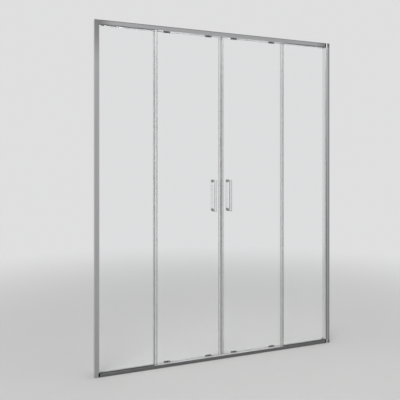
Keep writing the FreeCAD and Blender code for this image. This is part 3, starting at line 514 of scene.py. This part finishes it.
def linked(name, data):
    """A new object in the scene: a mesh, a lamp or a camera."""
    piece = bpy.data.objects.new(name, data)
    bpy.context.scene.collection.objects.link(piece)
    return piece


def finished(piece):
    """Turn an object with modifiers into a plain mesh object of the same name."""
    name = piece.name
    depsgraph = bpy.context.evaluated_depsgraph_get()
    mesh = bpy.data.meshes.new_from_object(piece.evaluated_get(depsgraph))
    rough = piece.data
    bpy.data.objects.remove(piece)
    bpy.data.meshes.remove(rough)
    mesh.name = name
    return linked(name, mesh)


def joined_copy(node):
    """A copy of a CAD node's mesh, with its loose triangles joined and its flat faces made whole."""
    shape = bmesh.new()
    shape.from_mesh(frame["nodes"][node].data)
    bmesh.ops.remove_doubles(shape, verts=shape.verts, dist=WELD)
    bmesh.ops.dissolve_limit(shape, angle_limit=FLAT_TURN, verts=shape.verts, edges=shape.edges)
    return shape


def smoothed(name, shape):
    """An object from a bmesh, shaded smooth up to its sharp edges."""
    for face in shape.faces:
        face.smooth = True
    mesh = bpy.data.meshes.new(name)
    shape.to_mesh(mesh)
    shape.free()
    mesh.set_sharp_from_angle(angle=SHARP_TURN)
    return linked(name, mesh)


def divided(shape, axis, place):
    """Divide a shape's faces where a plane square to an axis crosses them."""
    whole = shape.verts[:] + shape.edges[:] + shape.faces[:]
    normal = AXES[axis]
    bmesh.ops.bisect_plane(shape, geom=whole, dist=WELD, plane_co=normal * place, plane_no=normal)


def painted(piece, finishes, pick=None):
    """Give a piece its finishes; pick chooses one for each face."""
    piece.data.materials.clear()
    for finish in finishes:
        piece.data.materials.append(finish)
    for face in piece.data.polygons:
        face.material_index = pick(face) if pick else 0


def softened(node, slot, finishes, width, shortest, clear=0.0, pick=None, cuts=()):
    """A CAD node with its long sharp edges eased.

    clear is the hair of room that keeps a piece's faces off the glass that it touches.
    cuts are (axis, place) planes that divide its faces, so that each part takes its own finish."""
    shape = joined_copy(node)
    if clear:
        shape.normal_update()
        moves = [vert.normal * (vert.calc_shell_factor() * clear) for vert in shape.verts]
        for vert, move in zip(shape.verts, moves):
            vert.co -= move
    weights = shape.edges.layers.float.new("bevel_weight_edge")
    for edge in shape.edges:
        if edge.is_manifold and edge.calc_length() > shortest and edge.calc_face_angle() > SHARP_TURN:
            edge[weights] = 1.0
    for axis, place in cuts:
        divided(shape, axis, place)
    piece = smoothed(f"{node}_soft", shape)
    ease = piece.modifiers.new("eased edges", "BEVEL")
    ease.limit_method = "WEIGHT"
    ease.width = width
    ease.segments = 2
    ease.use_clamp_overlap = False
    ease.harden_normals = True
    piece = finished(piece)
    painted(piece, finishes, pick)
    hung(piece, frame["nodes"][node]["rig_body"], slot, node)


def edgeways(face):
    """1 for the faces that look along the width, such as a reveal, which take painted light."""
    return 1 if abs(face.normal.x) > SIDE_TURN else 0


def wall_side(face):
    """2 for the painted shade along the right wall and on the right top end, 3 for darker painted shade at
    that strip's ends, the rest as edgeways.
    """
    if face.center.x > WALL_SHADE_LINE:
        return 2 if LINE_LOW < face.center.z < LINE_HIGH else 3
    reveal = edgeways(face)
    return 2 if not reveal and face.center.x > 0.0 and face.center.z > LINE_HIGH else reveal


def seal_strip(node, bands):
    """A clear strip whose bands, (from, to, finish) in mm along the width, are painted shade, darker than
    the rest.
    """

    def pick(face):
        across = face.center.x / MM
        return next((finish for low, high, finish in bands if low < across < high), 0)

    cuts = {("x", place * MM) for low, high, finish in bands for place in (low, high)}
    finishes = [SEAL, SEAL_SHADE, SEAL_DEEP_SHADE]
    softened(node, "seal", finishes, SLIGHT, LONG_EDGE, HAIR, pick, sorted(cuts))


def rail_inside(face):
    """0 on the top rail's outer skin, 1 inside its channels, in painted light.

    On its front, 2 is a line of painted shade along the upper edge.
    3 is a line of painted shade along the lower edge, over the fixed panes."""
    low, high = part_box("top_rail")
    if face.center.y < low.y + SKIN:
        if face.center.z > TOP_SHADE_LINE:
            return 2
        return 3 if face.center.z < LOW_SHADE_LINE and abs(face.center.x) > PANE_EDGE else 0
    skin = face.center.y > high.y - SKIN or face.center.z > high.z - SKIN
    return 0 if skin else 1


def sill_inside(face):
    """0 on the sill's front skin, in painted shade, 1 on its rear skin, 2 inside, in painted light."""
    low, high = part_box("bottom_rail")
    if face.center.y < low.y + SKIN:
        return 0
    return 1 if face.center.y > high.y - SKIN else 2


def gasket_place(face):
    """0 for the gaskets in the bottom rail, 1 in the top rail, 2 in the jambs."""
    if abs(face.center.x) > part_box("top_rail")[1].x:
        return 2
    return 1 if face.center.z > UPPER_PART else 0


def by_rail(face):
    """0 on the bright right blocks, 2 on the bottom left one and the tenons, in painted half shade.

    1 is for the painted shadow in the seams next to the rails. The top left block has none and is in deeper
    painted shade all over, 3."""
    left = face.center.x < 0.0
    if left and face.center.z > UPPER_PART:
        return 3
    if abs(face.center.x) > SEAM_EDGE:
        return 2 if left else 0
    front = face.center.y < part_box("corner_blocks_top")[0].y + SEAM_DEPTH
    return 1 if front else 2


for side in SIGNS:
    finishes = [UPRIGHT[side], UPRIGHT_SIDE_LIT, UPRIGHT_WALL_SHADE, UPRIGHT_END_SHADE]
    cuts = [("x", WALL_SHADE_LINE), ("z", LINE_LOW), ("z", LINE_HIGH)]
    softened(f"wall_profile_{side}", "anodised", finishes, EASED, LONG_EDGE, pick=wall_side, cuts=cuts)
    softened(f"jamb_{side}", "anodised", [JAMB[side], UPRIGHT_SIDE_LIT], EASED, LONG_EDGE, pick=edgeways)
    softened(f"fixed_glass_{side}", "clear_glass", [GLASS], ARRIS, LONG_EDGE)
    softened(f"sliding_glass_{side}", "clear_glass", [GLASS], ARRIS, LONG_EDGE)
    softened(f"roller_carriers_{side}", "carrier", [CARRIER], EASED, SMALL_EDGE, HAIR)
    softened(f"clamp_plates_{side}", "plate", [PLATE], EASED, SMALL_EDGE, HAIR)
finishes = [RAIL, RAIL_INSIDE_LIT, RAIL_TOP_SHADE, RAIL_LOW_SHADE]
cuts = [("z", TOP_SHADE_LINE), ("z", LOW_SHADE_LINE), ("x", -PANE_EDGE), ("x", PANE_EDGE)]
softened("top_rail", "anodised", finishes, EASED, LONG_EDGE, pick=rail_inside, cuts=cuts)
softened("bottom_rail", "anodised", [SILL, RAIL, SILL_INSIDE_LIT], EASED, LONG_EDGE, pick=sill_inside)
for blocks in ("corner_blocks_top", "corner_blocks_bottom"):
    finishes = [CORNER, SEAM_SHADE, CORNER_HALF_SHADE, CORNER_SHADE]
    cuts = [("x", -SEAM_EDGE), ("x", SEAM_EDGE)]
    softened(blocks, "corner_chrome", finishes, BLOCK_ROUND, BLOCK_EDGE, pick=by_rail, cuts=cuts)
finishes = [GASKET, GASKET_GREY, GASKET_PALE]
softened("pane_gaskets", "gasket", finishes, SLIGHT, LONG_EDGE, HAIR, gasket_place)
seal_strip("meeting_profile_left", [(-18.0, -14.2, 2), (-9.0, -2.0, 1)])
seal_strip("meeting_profile_right", [(2.0, 18.0, 1)])
seal_strip("rear_seal_left", [(-411.5, -403.0, 1)])
seal_strip("rear_seal_right", [])
seal_strip(
    "fixed_edge_strips",
    [(-412.0, -406.5, 2), (-400.0, -390.0, 1), (400.0, 405.4, 1), (405.4, 412.0, 2)],
)
softened("top_infill", "anodised", [TOP_INFILL_LIT], SLIGHT, LONG_EDGE, HAIR)
softened("bottom_infill", "anodised", [SILL_INFILL_LIT], SLIGHT, LONG_EDGE, HAIR)
softened("stop_buffers", "buffer", [BUFFER], EASED, SMALL_EDGE)
softened("glazing_blocks", "block", [BLOCK], EASED, SMALL_EDGE, HAIR)


# Handles: bright grips, with painted shade on the outer grips' rims and on all arms

# Where the grips meet their arms, outside and inside, then where a grip's face counts as its rim, which on
# the outer grips is painted shade
GRIP_OUTER = -20.5 * MM
GRIP_INNER = 25.5 * MM
GRIP_TURN = 0.35
GRIP_BRIGHT = 1.5 * MM


def handle(node, edge, rim):
    """A handle cut where its grip meets its arms, so that grip, rims and arms take their own tones: painted
    shade on the arms, and on the rims of the outer grips.
    """
    shape = joined_copy(node)
    low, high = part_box(node)
    rim_edge = (low.x + high.x) / 2.0 + GRIP_BRIGHT
    divided(shape, "y", edge)
    divided(shape, "x", rim_edge)
    piece = smoothed(f"{node}_bright", shape)
    even = piece.modifiers.new("even shading", "WEIGHTED_NORMAL")
    even.keep_sharp = True
    piece = finished(piece)

    def pick(face):
        if abs(face.center.y) < abs(edge):
            return 2
        return 1 if abs(face.normal.x) > GRIP_TURN or face.center.x > rim_edge else 0

    painted(piece, [HANDLE, rim, HANDLE_ARM_SHADE], pick)
    hung(piece, frame["nodes"][node]["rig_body"], "handle_chrome", node)


for side in SIGNS:
    handle(f"handle_outer_{side}", GRIP_OUTER, HANDLE_RIM_SHADE[side])
    handle(f"handle_inner_{side}", GRIP_INNER, HANDLE)


# Turned hardware: screws, pins, caps and wheels, with their places in mm

TURN_STEPS = 24


def turned(name, rings, closed=False):
    """A shape turned about Y. Each ring is (radius, depth, corners) in mm; no radius closes an end."""
    points = []
    loops = []
    for radius, depth, corners in rings:
        loop = []
        for step in range(TURN_STEPS if radius else 1):
            angle = 2.0 * math.pi * step / TURN_STEPS
            reach = radius
            if corners:
                part = 2.0 * math.pi / corners
                reach = radius * math.cos(part / 2.0) / math.cos(angle % part - part / 2.0)
            loop.append(len(points))
            points.append(Vector((reach * math.cos(angle), depth, reach * math.sin(angle))) * MM)
        loops.append(loop)
    pairs = list(zip(loops, loops[1:]))
    if closed:
        pairs.append((loops[-1], loops[0]))
    shape = bmesh.new()
    verts = [shape.verts.new(point) for point in points]
    for first, second in pairs:
        for step in range(TURN_STEPS):
            after = step + 1
            corners = (
                first[step % len(first)],
                first[after % len(first)],
                second[after % len(second)],
                second[step % len(second)],
            )
            shape.faces.new([verts[index] for index in dict.fromkeys(corners)])
    bmesh.ops.recalc_face_normals(shape, faces=shape.faces)
    return smoothed(name, shape)


def geometry_tree(name, inputs):
    """A Geometry Nodes tree with named inputs, the first of them its mesh."""
    tree = bpy.data.node_groups.new(name, "GeometryNodeTree")
    for label, kind in inputs:
        tree.interface.new_socket(label, in_out="INPUT", socket_type=kind)
    tree.interface.new_socket("Geometry", in_out="OUTPUT", socket_type="NodeSocketGeometry")
    return tree, tree.nodes.new("NodeGroupInput"), tree.nodes.new("NodeGroupOutput")


def fasteners_tree():
    """Set one fastener on each point, turned by chance about its own axis."""
    tree, entry, leave = geometry_tree(
        "set_fasteners",
        [
            ("Places", "NodeSocketGeometry"),
            ("Fastener", "NodeSocketObject"),
            ("Turn Seed", "NodeSocketInt"),
            ("Finish", "NodeSocketMaterial"),
        ],
    )
    points = tree.nodes.new("GeometryNodeMeshToPoints")
    source = tree.nodes.new("GeometryNodeObjectInfo")
    turn = tree.nodes.new("FunctionNodeRandomValue")
    turn.data_type = "FLOAT_VECTOR"
    turn.inputs[0].default_value = (0.0, 0.0, 0.0)
    turn.inputs[1].default_value = (0.0, 2.0 * math.pi, 0.0)
    put = tree.nodes.new("GeometryNodeInstanceOnPoints")
    real = tree.nodes.new("GeometryNodeRealizeInstances")
    coat = tree.nodes.new("GeometryNodeSetMaterial")
    link(tree, entry.outputs["Places"], points.inputs["Mesh"])
    link(tree, entry.outputs["Fastener"], source.inputs["Object"])
    link(tree, entry.outputs["Turn Seed"], turn.inputs["Seed"])
    link(tree, points.outputs["Points"], put.inputs["Points"])
    link(tree, source.outputs["Geometry"], put.inputs["Instance"])
    link(tree, turn.outputs[0], put.inputs["Rotation"])
    link(tree, put.outputs["Instances"], real.inputs["Geometry"])
    link(tree, real.outputs["Geometry"], coat.inputs["Geometry"])
    link(tree, entry.outputs["Finish"], coat.inputs["Material"])
    link(tree, coat.outputs["Geometry"], leave.inputs["Geometry"])
    return tree


def ball_wheel_tree():
    """A tyre with a ring of balls between the races of its bearing."""
    tree, entry, leave = geometry_tree(
        "ball_wheel",
        [
            ("Tyre", "NodeSocketGeometry"),
            ("Races", "NodeSocketObject"),
            ("Ball Count", "NodeSocketInt"),
            ("Ball Size", "NodeSocketFloat"),
            ("Pitch Radius", "NodeSocketFloat"),
            ("Tyre Finish", "NodeSocketMaterial"),
            ("Bearing Finish", "NodeSocketMaterial"),
        ],
    )
    ring = tree.nodes.new("GeometryNodeMeshCircle")
    laid = tree.nodes.new("GeometryNodeTransform")
    laid.inputs["Rotation"].default_value = (math.pi / 2.0, 0.0, 0.0)
    ball = tree.nodes.new("GeometryNodeMeshIcoSphere")
    ball.inputs["Subdivisions"].default_value = 2
    put = tree.nodes.new("GeometryNodeInstanceOnPoints")
    source = tree.nodes.new("GeometryNodeObjectInfo")
    bearing = tree.nodes.new("GeometryNodeJoinGeometry")
    steel = tree.nodes.new("GeometryNodeSetMaterial")
    tyre = tree.nodes.new("GeometryNodeSetMaterial")
    whole = tree.nodes.new("GeometryNodeJoinGeometry")
    real = tree.nodes.new("GeometryNodeRealizeInstances")
    link(tree, entry.outputs["Ball Count"], ring.inputs["Vertices"])
    link(tree, entry.outputs["Pitch Radius"], ring.inputs["Radius"])
    link(tree, entry.outputs["Ball Size"], ball.inputs["Radius"])
    link(tree, ring.outputs["Mesh"], laid.inputs["Geometry"])
    link(tree, laid.outputs["Geometry"], put.inputs["Points"])
    link(tree, ball.outputs["Mesh"], put.inputs["Instance"])
    link(tree, entry.outputs["Races"], source.inputs["Object"])
    link(tree, source.outputs["Geometry"], bearing.inputs["Geometry"])
    link(tree, put.outputs["Instances"], bearing.inputs["Geometry"])
    link(tree, bearing.outputs["Geometry"], real.inputs["Geometry"])
    link(tree, real.outputs["Geometry"], steel.inputs["Geometry"])
    link(tree, entry.outputs["Bearing Finish"], steel.inputs["Material"])
    link(tree, entry.outputs["Tyre"], tyre.inputs["Geometry"])
    link(tree, entry.outputs["Tyre Finish"], tyre.inputs["Material"])
    link(tree, tyre.outputs["Geometry"], whole.inputs["Geometry"])
    link(tree, steel.outputs["Geometry"], whole.inputs["Geometry"])
    link(tree, whole.outputs["Geometry"], leave.inputs["Geometry"])
    return tree


def with_nodes(piece, tree, **values):
    """Run a Geometry Nodes tree on a piece, with its inputs set by identifier, and keep the plain mesh."""
    modifier = piece.modifiers.new(tree.name, "NODES")
    modifier.node_group = tree
    for item in tree.interface.items_tree:
        label = item.name.replace(" ", "_")
        if item.in_out == "INPUT" and label in values:
            modifier[item.identifier] = values[label]
    return finished(piece)


FASTENERS = fasteners_tree()
BALL_WHEEL = ball_wheel_tree()


def fastened(name, node, slot, places, fastener, finish, seed):
    """One piece of like fasteners at their places, in mm, in the stead of a CAD node."""
    mesh = bpy.data.meshes.new(name)
    mesh.from_pydata([Vector(place) * MM for place in places], [], [])
    piece = with_nodes(linked(name, mesh), FASTENERS, Fastener=fastener, Turn_Seed=seed, Finish=finish)
    hung(piece, frame["nodes"][node]["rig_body"], slot, node)


CLAMP_SCREW = turned(
    "clamp_screw",
    [
        (0.0, 8.5, 0),
        (1.6, 8.5, 0),
        (2.0, 8.1, 0),
        (2.0, -2.5, 0),
        (2.9, -2.5, 0),
        (2.9, -3.1, 0),
        (2.7, -3.5, 0),
        (2.3, -3.7, 0),
        (1.45, -3.7, 6),
        (1.40, -2.7, 6),
        (0.0, -2.5, 0),
    ],
)
AXLE_PIN = turned(
    "axle_pin",
    [
        (0.0, 5.0, 0),
        (1.7, 5.0, 0),
        (2.0, 5.3, 0),
        (2.0, 18.3, 0),
        (3.4, 18.3, 0),
        (3.4, 18.9, 0),
        (2.9, 19.4, 0),
        (1.6, 19.5, 0),
        (1.3, 19.0, 0),
        (0.0, 18.9, 0),
    ],
)
FRAME_SCREW = turned(
    "frame_screw",
    [
        (0.0, 14.0, 0),
        (1.9, 14.8, 0),
        (1.9, 22.0, 0),
        (3.2, 22.0, 0),
        (3.2, 23.0, 0),
        (2.3, 23.8, 0),
        (1.3, 23.8, 4),
        (0.9, 22.6, 4),
        (0.0, 22.4, 0),
    ],
)
SCREW_CAP = turned(
    "screw_cap",
    [
        (0.0, 24.5, 0),
        (2.2, 24.6, 0),
        (3.6, 24.5, 0),
        (4.5, 24.0, 0),
        (4.9, 23.2, 0),
        (5.0, 22.5, 0),
        (5.0, 22.0, 0),
        (4.0, 22.0, 0),
        (4.0, 23.8, 0),
        (0.0, 23.9, 0),
    ],
)

# How far out from the middle, and at which heights
CLAMP_PLACES = (81.0, 333.0)
CLAMP_HALF = 10.0
CLAMP_LEVELS = (23.8, 1873.5)
AXLE_LEVELS = {"bottom": 11.0, "top": 1886.0}
UPRIGHT_SCREWS = (728.0, (250.0, 950.0, 1650.0))
RAIL_SCREWS = (702.0, (8.2, 1894.4))

AXLE_PLACES = [place + step for place in CLAMP_PLACES for step in (-CLAMP_HALF, CLAMP_HALF)]
FRAME_PLACES = [
    (sign * across, 0.0, level)
    for sign in SIGNS.values()
    for across, levels in (UPRIGHT_SCREWS, RAIL_SCREWS)
    for level in levels
]
fastened("frame_screws_turned", "frame_screws", "steel", FRAME_PLACES, FRAME_SCREW, STEEL, seed=3)
fastened("screw_caps_turned", "screw_caps", "cap", FRAME_PLACES, SCREW_CAP, CAP, seed=5)
for side, sign in SIGNS.items():
    screws = [(sign * across, 0.0, level) for across in AXLE_PLACES for level in CLAMP_LEVELS]
    pins = [(sign * across, 0.0, level) for across in AXLE_PLACES for level in AXLE_LEVELS.values()]
    node = f"clamp_screws_{side}"
    fastened(f"{node}_turned", node, "steel", screws, CLAMP_SCREW, STEEL, seed=7)
    node = f"axle_pins_{side}"
    fastened(f"{node}_turned", node, "steel", pins, AXLE_PIN, STEEL, seed=11)

# Wheels: a grooved tyre on a small ball bearing

TYRE_RINGS = [
    (4.95, -2.7, 0),
    (6.1, -2.7, 0),
    (6.4, -3.5, 0),
    (8.2, -3.5, 0),
    (8.5, -3.2, 0),
    (8.5, -2.3, 0),
    (7.0, -1.0, 0),
    (7.0, 1.0, 0),
    (8.5, 2.3, 0),
    (8.5, 3.2, 0),
    (8.2, 3.5, 0),
    (6.4, 3.5, 0),
    (6.1, 2.7, 0),
    (4.95, 2.7, 0),
]
INNER_RACE = [(2.06, -3.3, 0), (2.9, -3.3, 0), (2.9, 3.3, 0), (2.06, 3.3, 0)]
OUTER_RACE = [(4.15, -2.9, 0), (4.95, -2.9, 0), (4.95, 2.9, 0), (4.15, 2.9, 0)]
BALL_SIZE = 0.8 * MM
PITCH_RADIUS = 3.53 * MM
BALL_COUNT = 9
WHEEL_MIDDLE = 14.5


def bearing_races():
    """Both races of the bearing in one mesh."""
    races = bmesh.new()
    for label, rings in (("inner_race", INNER_RACE), ("outer_race", OUTER_RACE)):
        race = turned(label, rings, closed=True)
        races.from_mesh(race.data)
        bpy.data.objects.remove(race)
    return smoothed("races", races)


def wheels():
    """The sixteen wheels, each on its own body."""
    races = bearing_races()
    model = with_nodes(
        turned("tyre", TYRE_RINGS, closed=True),
        BALL_WHEEL,
        Races=races,
        Ball_Count=BALL_COUNT,
        Ball_Size=BALL_SIZE,
        Pitch_Radius=PITCH_RADIUS,
        Tyre_Finish=WHEEL,
        Bearing_Finish=STEEL,
    )
    for side, sign in SIGNS.items():
        for shelf, level in AXLE_LEVELS.items():
            for number, across in enumerate(AXLE_PLACES, 1):
                node = f"wheel_{side}_{shelf}_{number}"
                mesh = model.data.copy()
                mesh.transform(Matrix.Translation(Vector((sign * across, WHEEL_MIDDLE, level)) * MM))
                hung(linked(f"{node}_turned", mesh), frame["nodes"][node]["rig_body"], "wheel", node)
    bpy.data.objects.remove(model)
    bpy.data.objects.remove(races)


wheels()
for pattern in (CLAMP_SCREW, AXLE_PIN, FRAME_SCREW, SCREW_CAP):
    bpy.data.objects.remove(pattern)

# CAD nodes that stay as they are

for side in SIGNS:
    for label, finish in (("magnet_strip", MAGNET), ("handle_studs", STEEL), ("handle_washers", WASHER)):
        for slot in frame["nodes"][f"{label}_{side}"].material_slots:
            slot.material = finish

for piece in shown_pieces():
    if any(slot.material in (GLASS, SEAL, WASHER) for slot in piece.material_slots):
        piece.visible_shadow = False


# Studio: floor, light, backdrop and camera


def shown_ray(tree):
    """1 for the rays that show the backdrop: camera, glossy and transmission rays."""
    path = tree.nodes.new("ShaderNodeLightPath")
    seen = math_node(tree, "MAXIMUM", path.outputs["Is Camera Ray"], path.outputs["Is Glossy Ray"])
    return math_node(tree, "MAXIMUM", seen, path.outputs["Is Transmission Ray"])


def backdrop():
    world = bpy.data.worlds.new("studio")
    bpy.context.scene.world = world
    world.use_nodes = True
    tree = world.node_tree
    light = tree.nodes["Background"]
    tone = tinted(tree, shown_ray(tree), grey(SOFT_LIGHT), grey(BACKDROP_TONE))
    link(tree, tone, light.inputs["Color"])
    light.inputs["Strength"].default_value = 1.0


def floor():
    """A pale floor that fades into the backdrop away from the door."""
    mesh = bpy.data.meshes.new("floor")
    square = ((-1.0, -1.0), (1.0, -1.0), (1.0, 1.0), (-1.0, 1.0))
    corners = [(across * FLOOR_HALF, along * FLOOR_HALF, -FLOOR_DROP) for across, along in square]
    mesh.from_pydata(corners, [], [(0, 1, 2, 3)])
    plane = linked("floor", mesh)
    material, tree, shader, place = started("floor_paint")
    mottle = noise(tree, place, scale=3.0, detail=3.0)
    pale = tuple(tone * FLOOR_MOTTLE for tone in FLOOR_TONE)
    link(tree, tinted(tree, mottle, FLOOR_TONE, pale), shader.inputs["Base Color"])
    shader.inputs["Roughness"].default_value = FLOOR_DULLNESS
    reach = tree.nodes.new("ShaderNodeVectorMath")
    reach.operation = "LENGTH"
    link(tree, place, reach.inputs[0])
    far = tree.nodes.new("ShaderNodeEmission")
    far.inputs["Color"].default_value = (*grey(BACKDROP_TONE), 1.0)
    mixed = tree.nodes.new("ShaderNodeMixShader")
    link(tree, ranged(tree, reach.outputs["Value"], FLOOR_NEAR, FLOOR_FAR), mixed.inputs["Fac"])
    link(tree, shader.outputs["BSDF"], mixed.inputs[1])
    link(tree, far.outputs["Emission"], mixed.inputs[2])
    link(tree, mixed.outputs["Shader"], tree.nodes["Material Output"].inputs["Surface"])
    mesh.materials.append(material)


def lamp(name, place, target, size, power, beam=180.0, mirrored=True):
    """A soft box of a width and a height, with its beam in degrees.

    One that is not mirrored leaves no spots on bright metal and glass."""
    data = bpy.data.lights.new(name, "AREA")
    data.shape = "RECTANGLE"
    data.size, data.size_y = size
    data.energy = power
    data.spread = math.radians(beam)
    light = linked(name, data)
    light.location = place
    light.rotation_euler = (Vector(target) - Vector(place)).to_track_quat("-Z", "Y").to_euler()
    light.visible_camera = False
    light.visible_glossy = mirrored
    light.visible_transmission = mirrored


def card(name, across, reach, height):
    """A dark studio card beside the door: only bright metal mirrors it, as thin dark edges."""
    near, far = reach
    mesh = bpy.data.meshes.new(name)
    corners = [(across, near, 0.0), (across, far, 0.0), (across, far, height), (across, near, height)]
    mesh.from_pydata(corners, [], [(0, 1, 2, 3)])
    panel = linked(name, mesh)
    material, tree, shader, place = started(f"{name}_cloth")
    nap = noise(tree, place, scale=40.0, detail=2.0)
    dark, light = CARD_TONES
    link(tree, tinted(tree, nap, grey(dark), grey(light)), shader.inputs["Base Color"])
    shader.inputs["Roughness"].default_value = CARD_DULLNESS
    mesh.materials.append(material)
    panel.visible_camera = False
    panel.visible_diffuse = False
    panel.visible_transmission = False
    panel.visible_shadow = False


def camera():
    data = bpy.data.cameras.new("camera")
    data.lens = CAMERA_LENS
    data.sensor_width = CAMERA_SENSOR
    data.shift_y = CAMERA_SHIFT
    eye = linked("camera", data)
    eye.location = CAMERA_PLACE
    eye.rotation_euler = (math.radians(90), 0.0, -math.radians(CAMERA_TURN))
    bpy.context.scene.camera = eye


backdrop()
floor()
lamp("key", place=(-3.2, -3.6, 4.4), target=(0.0, 0.0, 0.9), size=(3.0, 3.0), power=135.0)
lamp("top", place=(0.6, -0.6, 4.8), target=(0.3, 0.2, 0.0), size=(2.6, 2.6), power=62.0, mirrored=False)
lamp(
    "low",
    place=(-0.1, -2.6, 1.0),
    target=(0.15, 0.0, 2.15),
    size=(2.2, 0.2),
    power=4.4,
    beam=20.0,
    mirrored=False,
)
card("left_card", across=-3.6, reach=(-2.6, -0.2), height=3.2)
camera()
bpy.context.scene.view_settings.view_transform = "Standard"
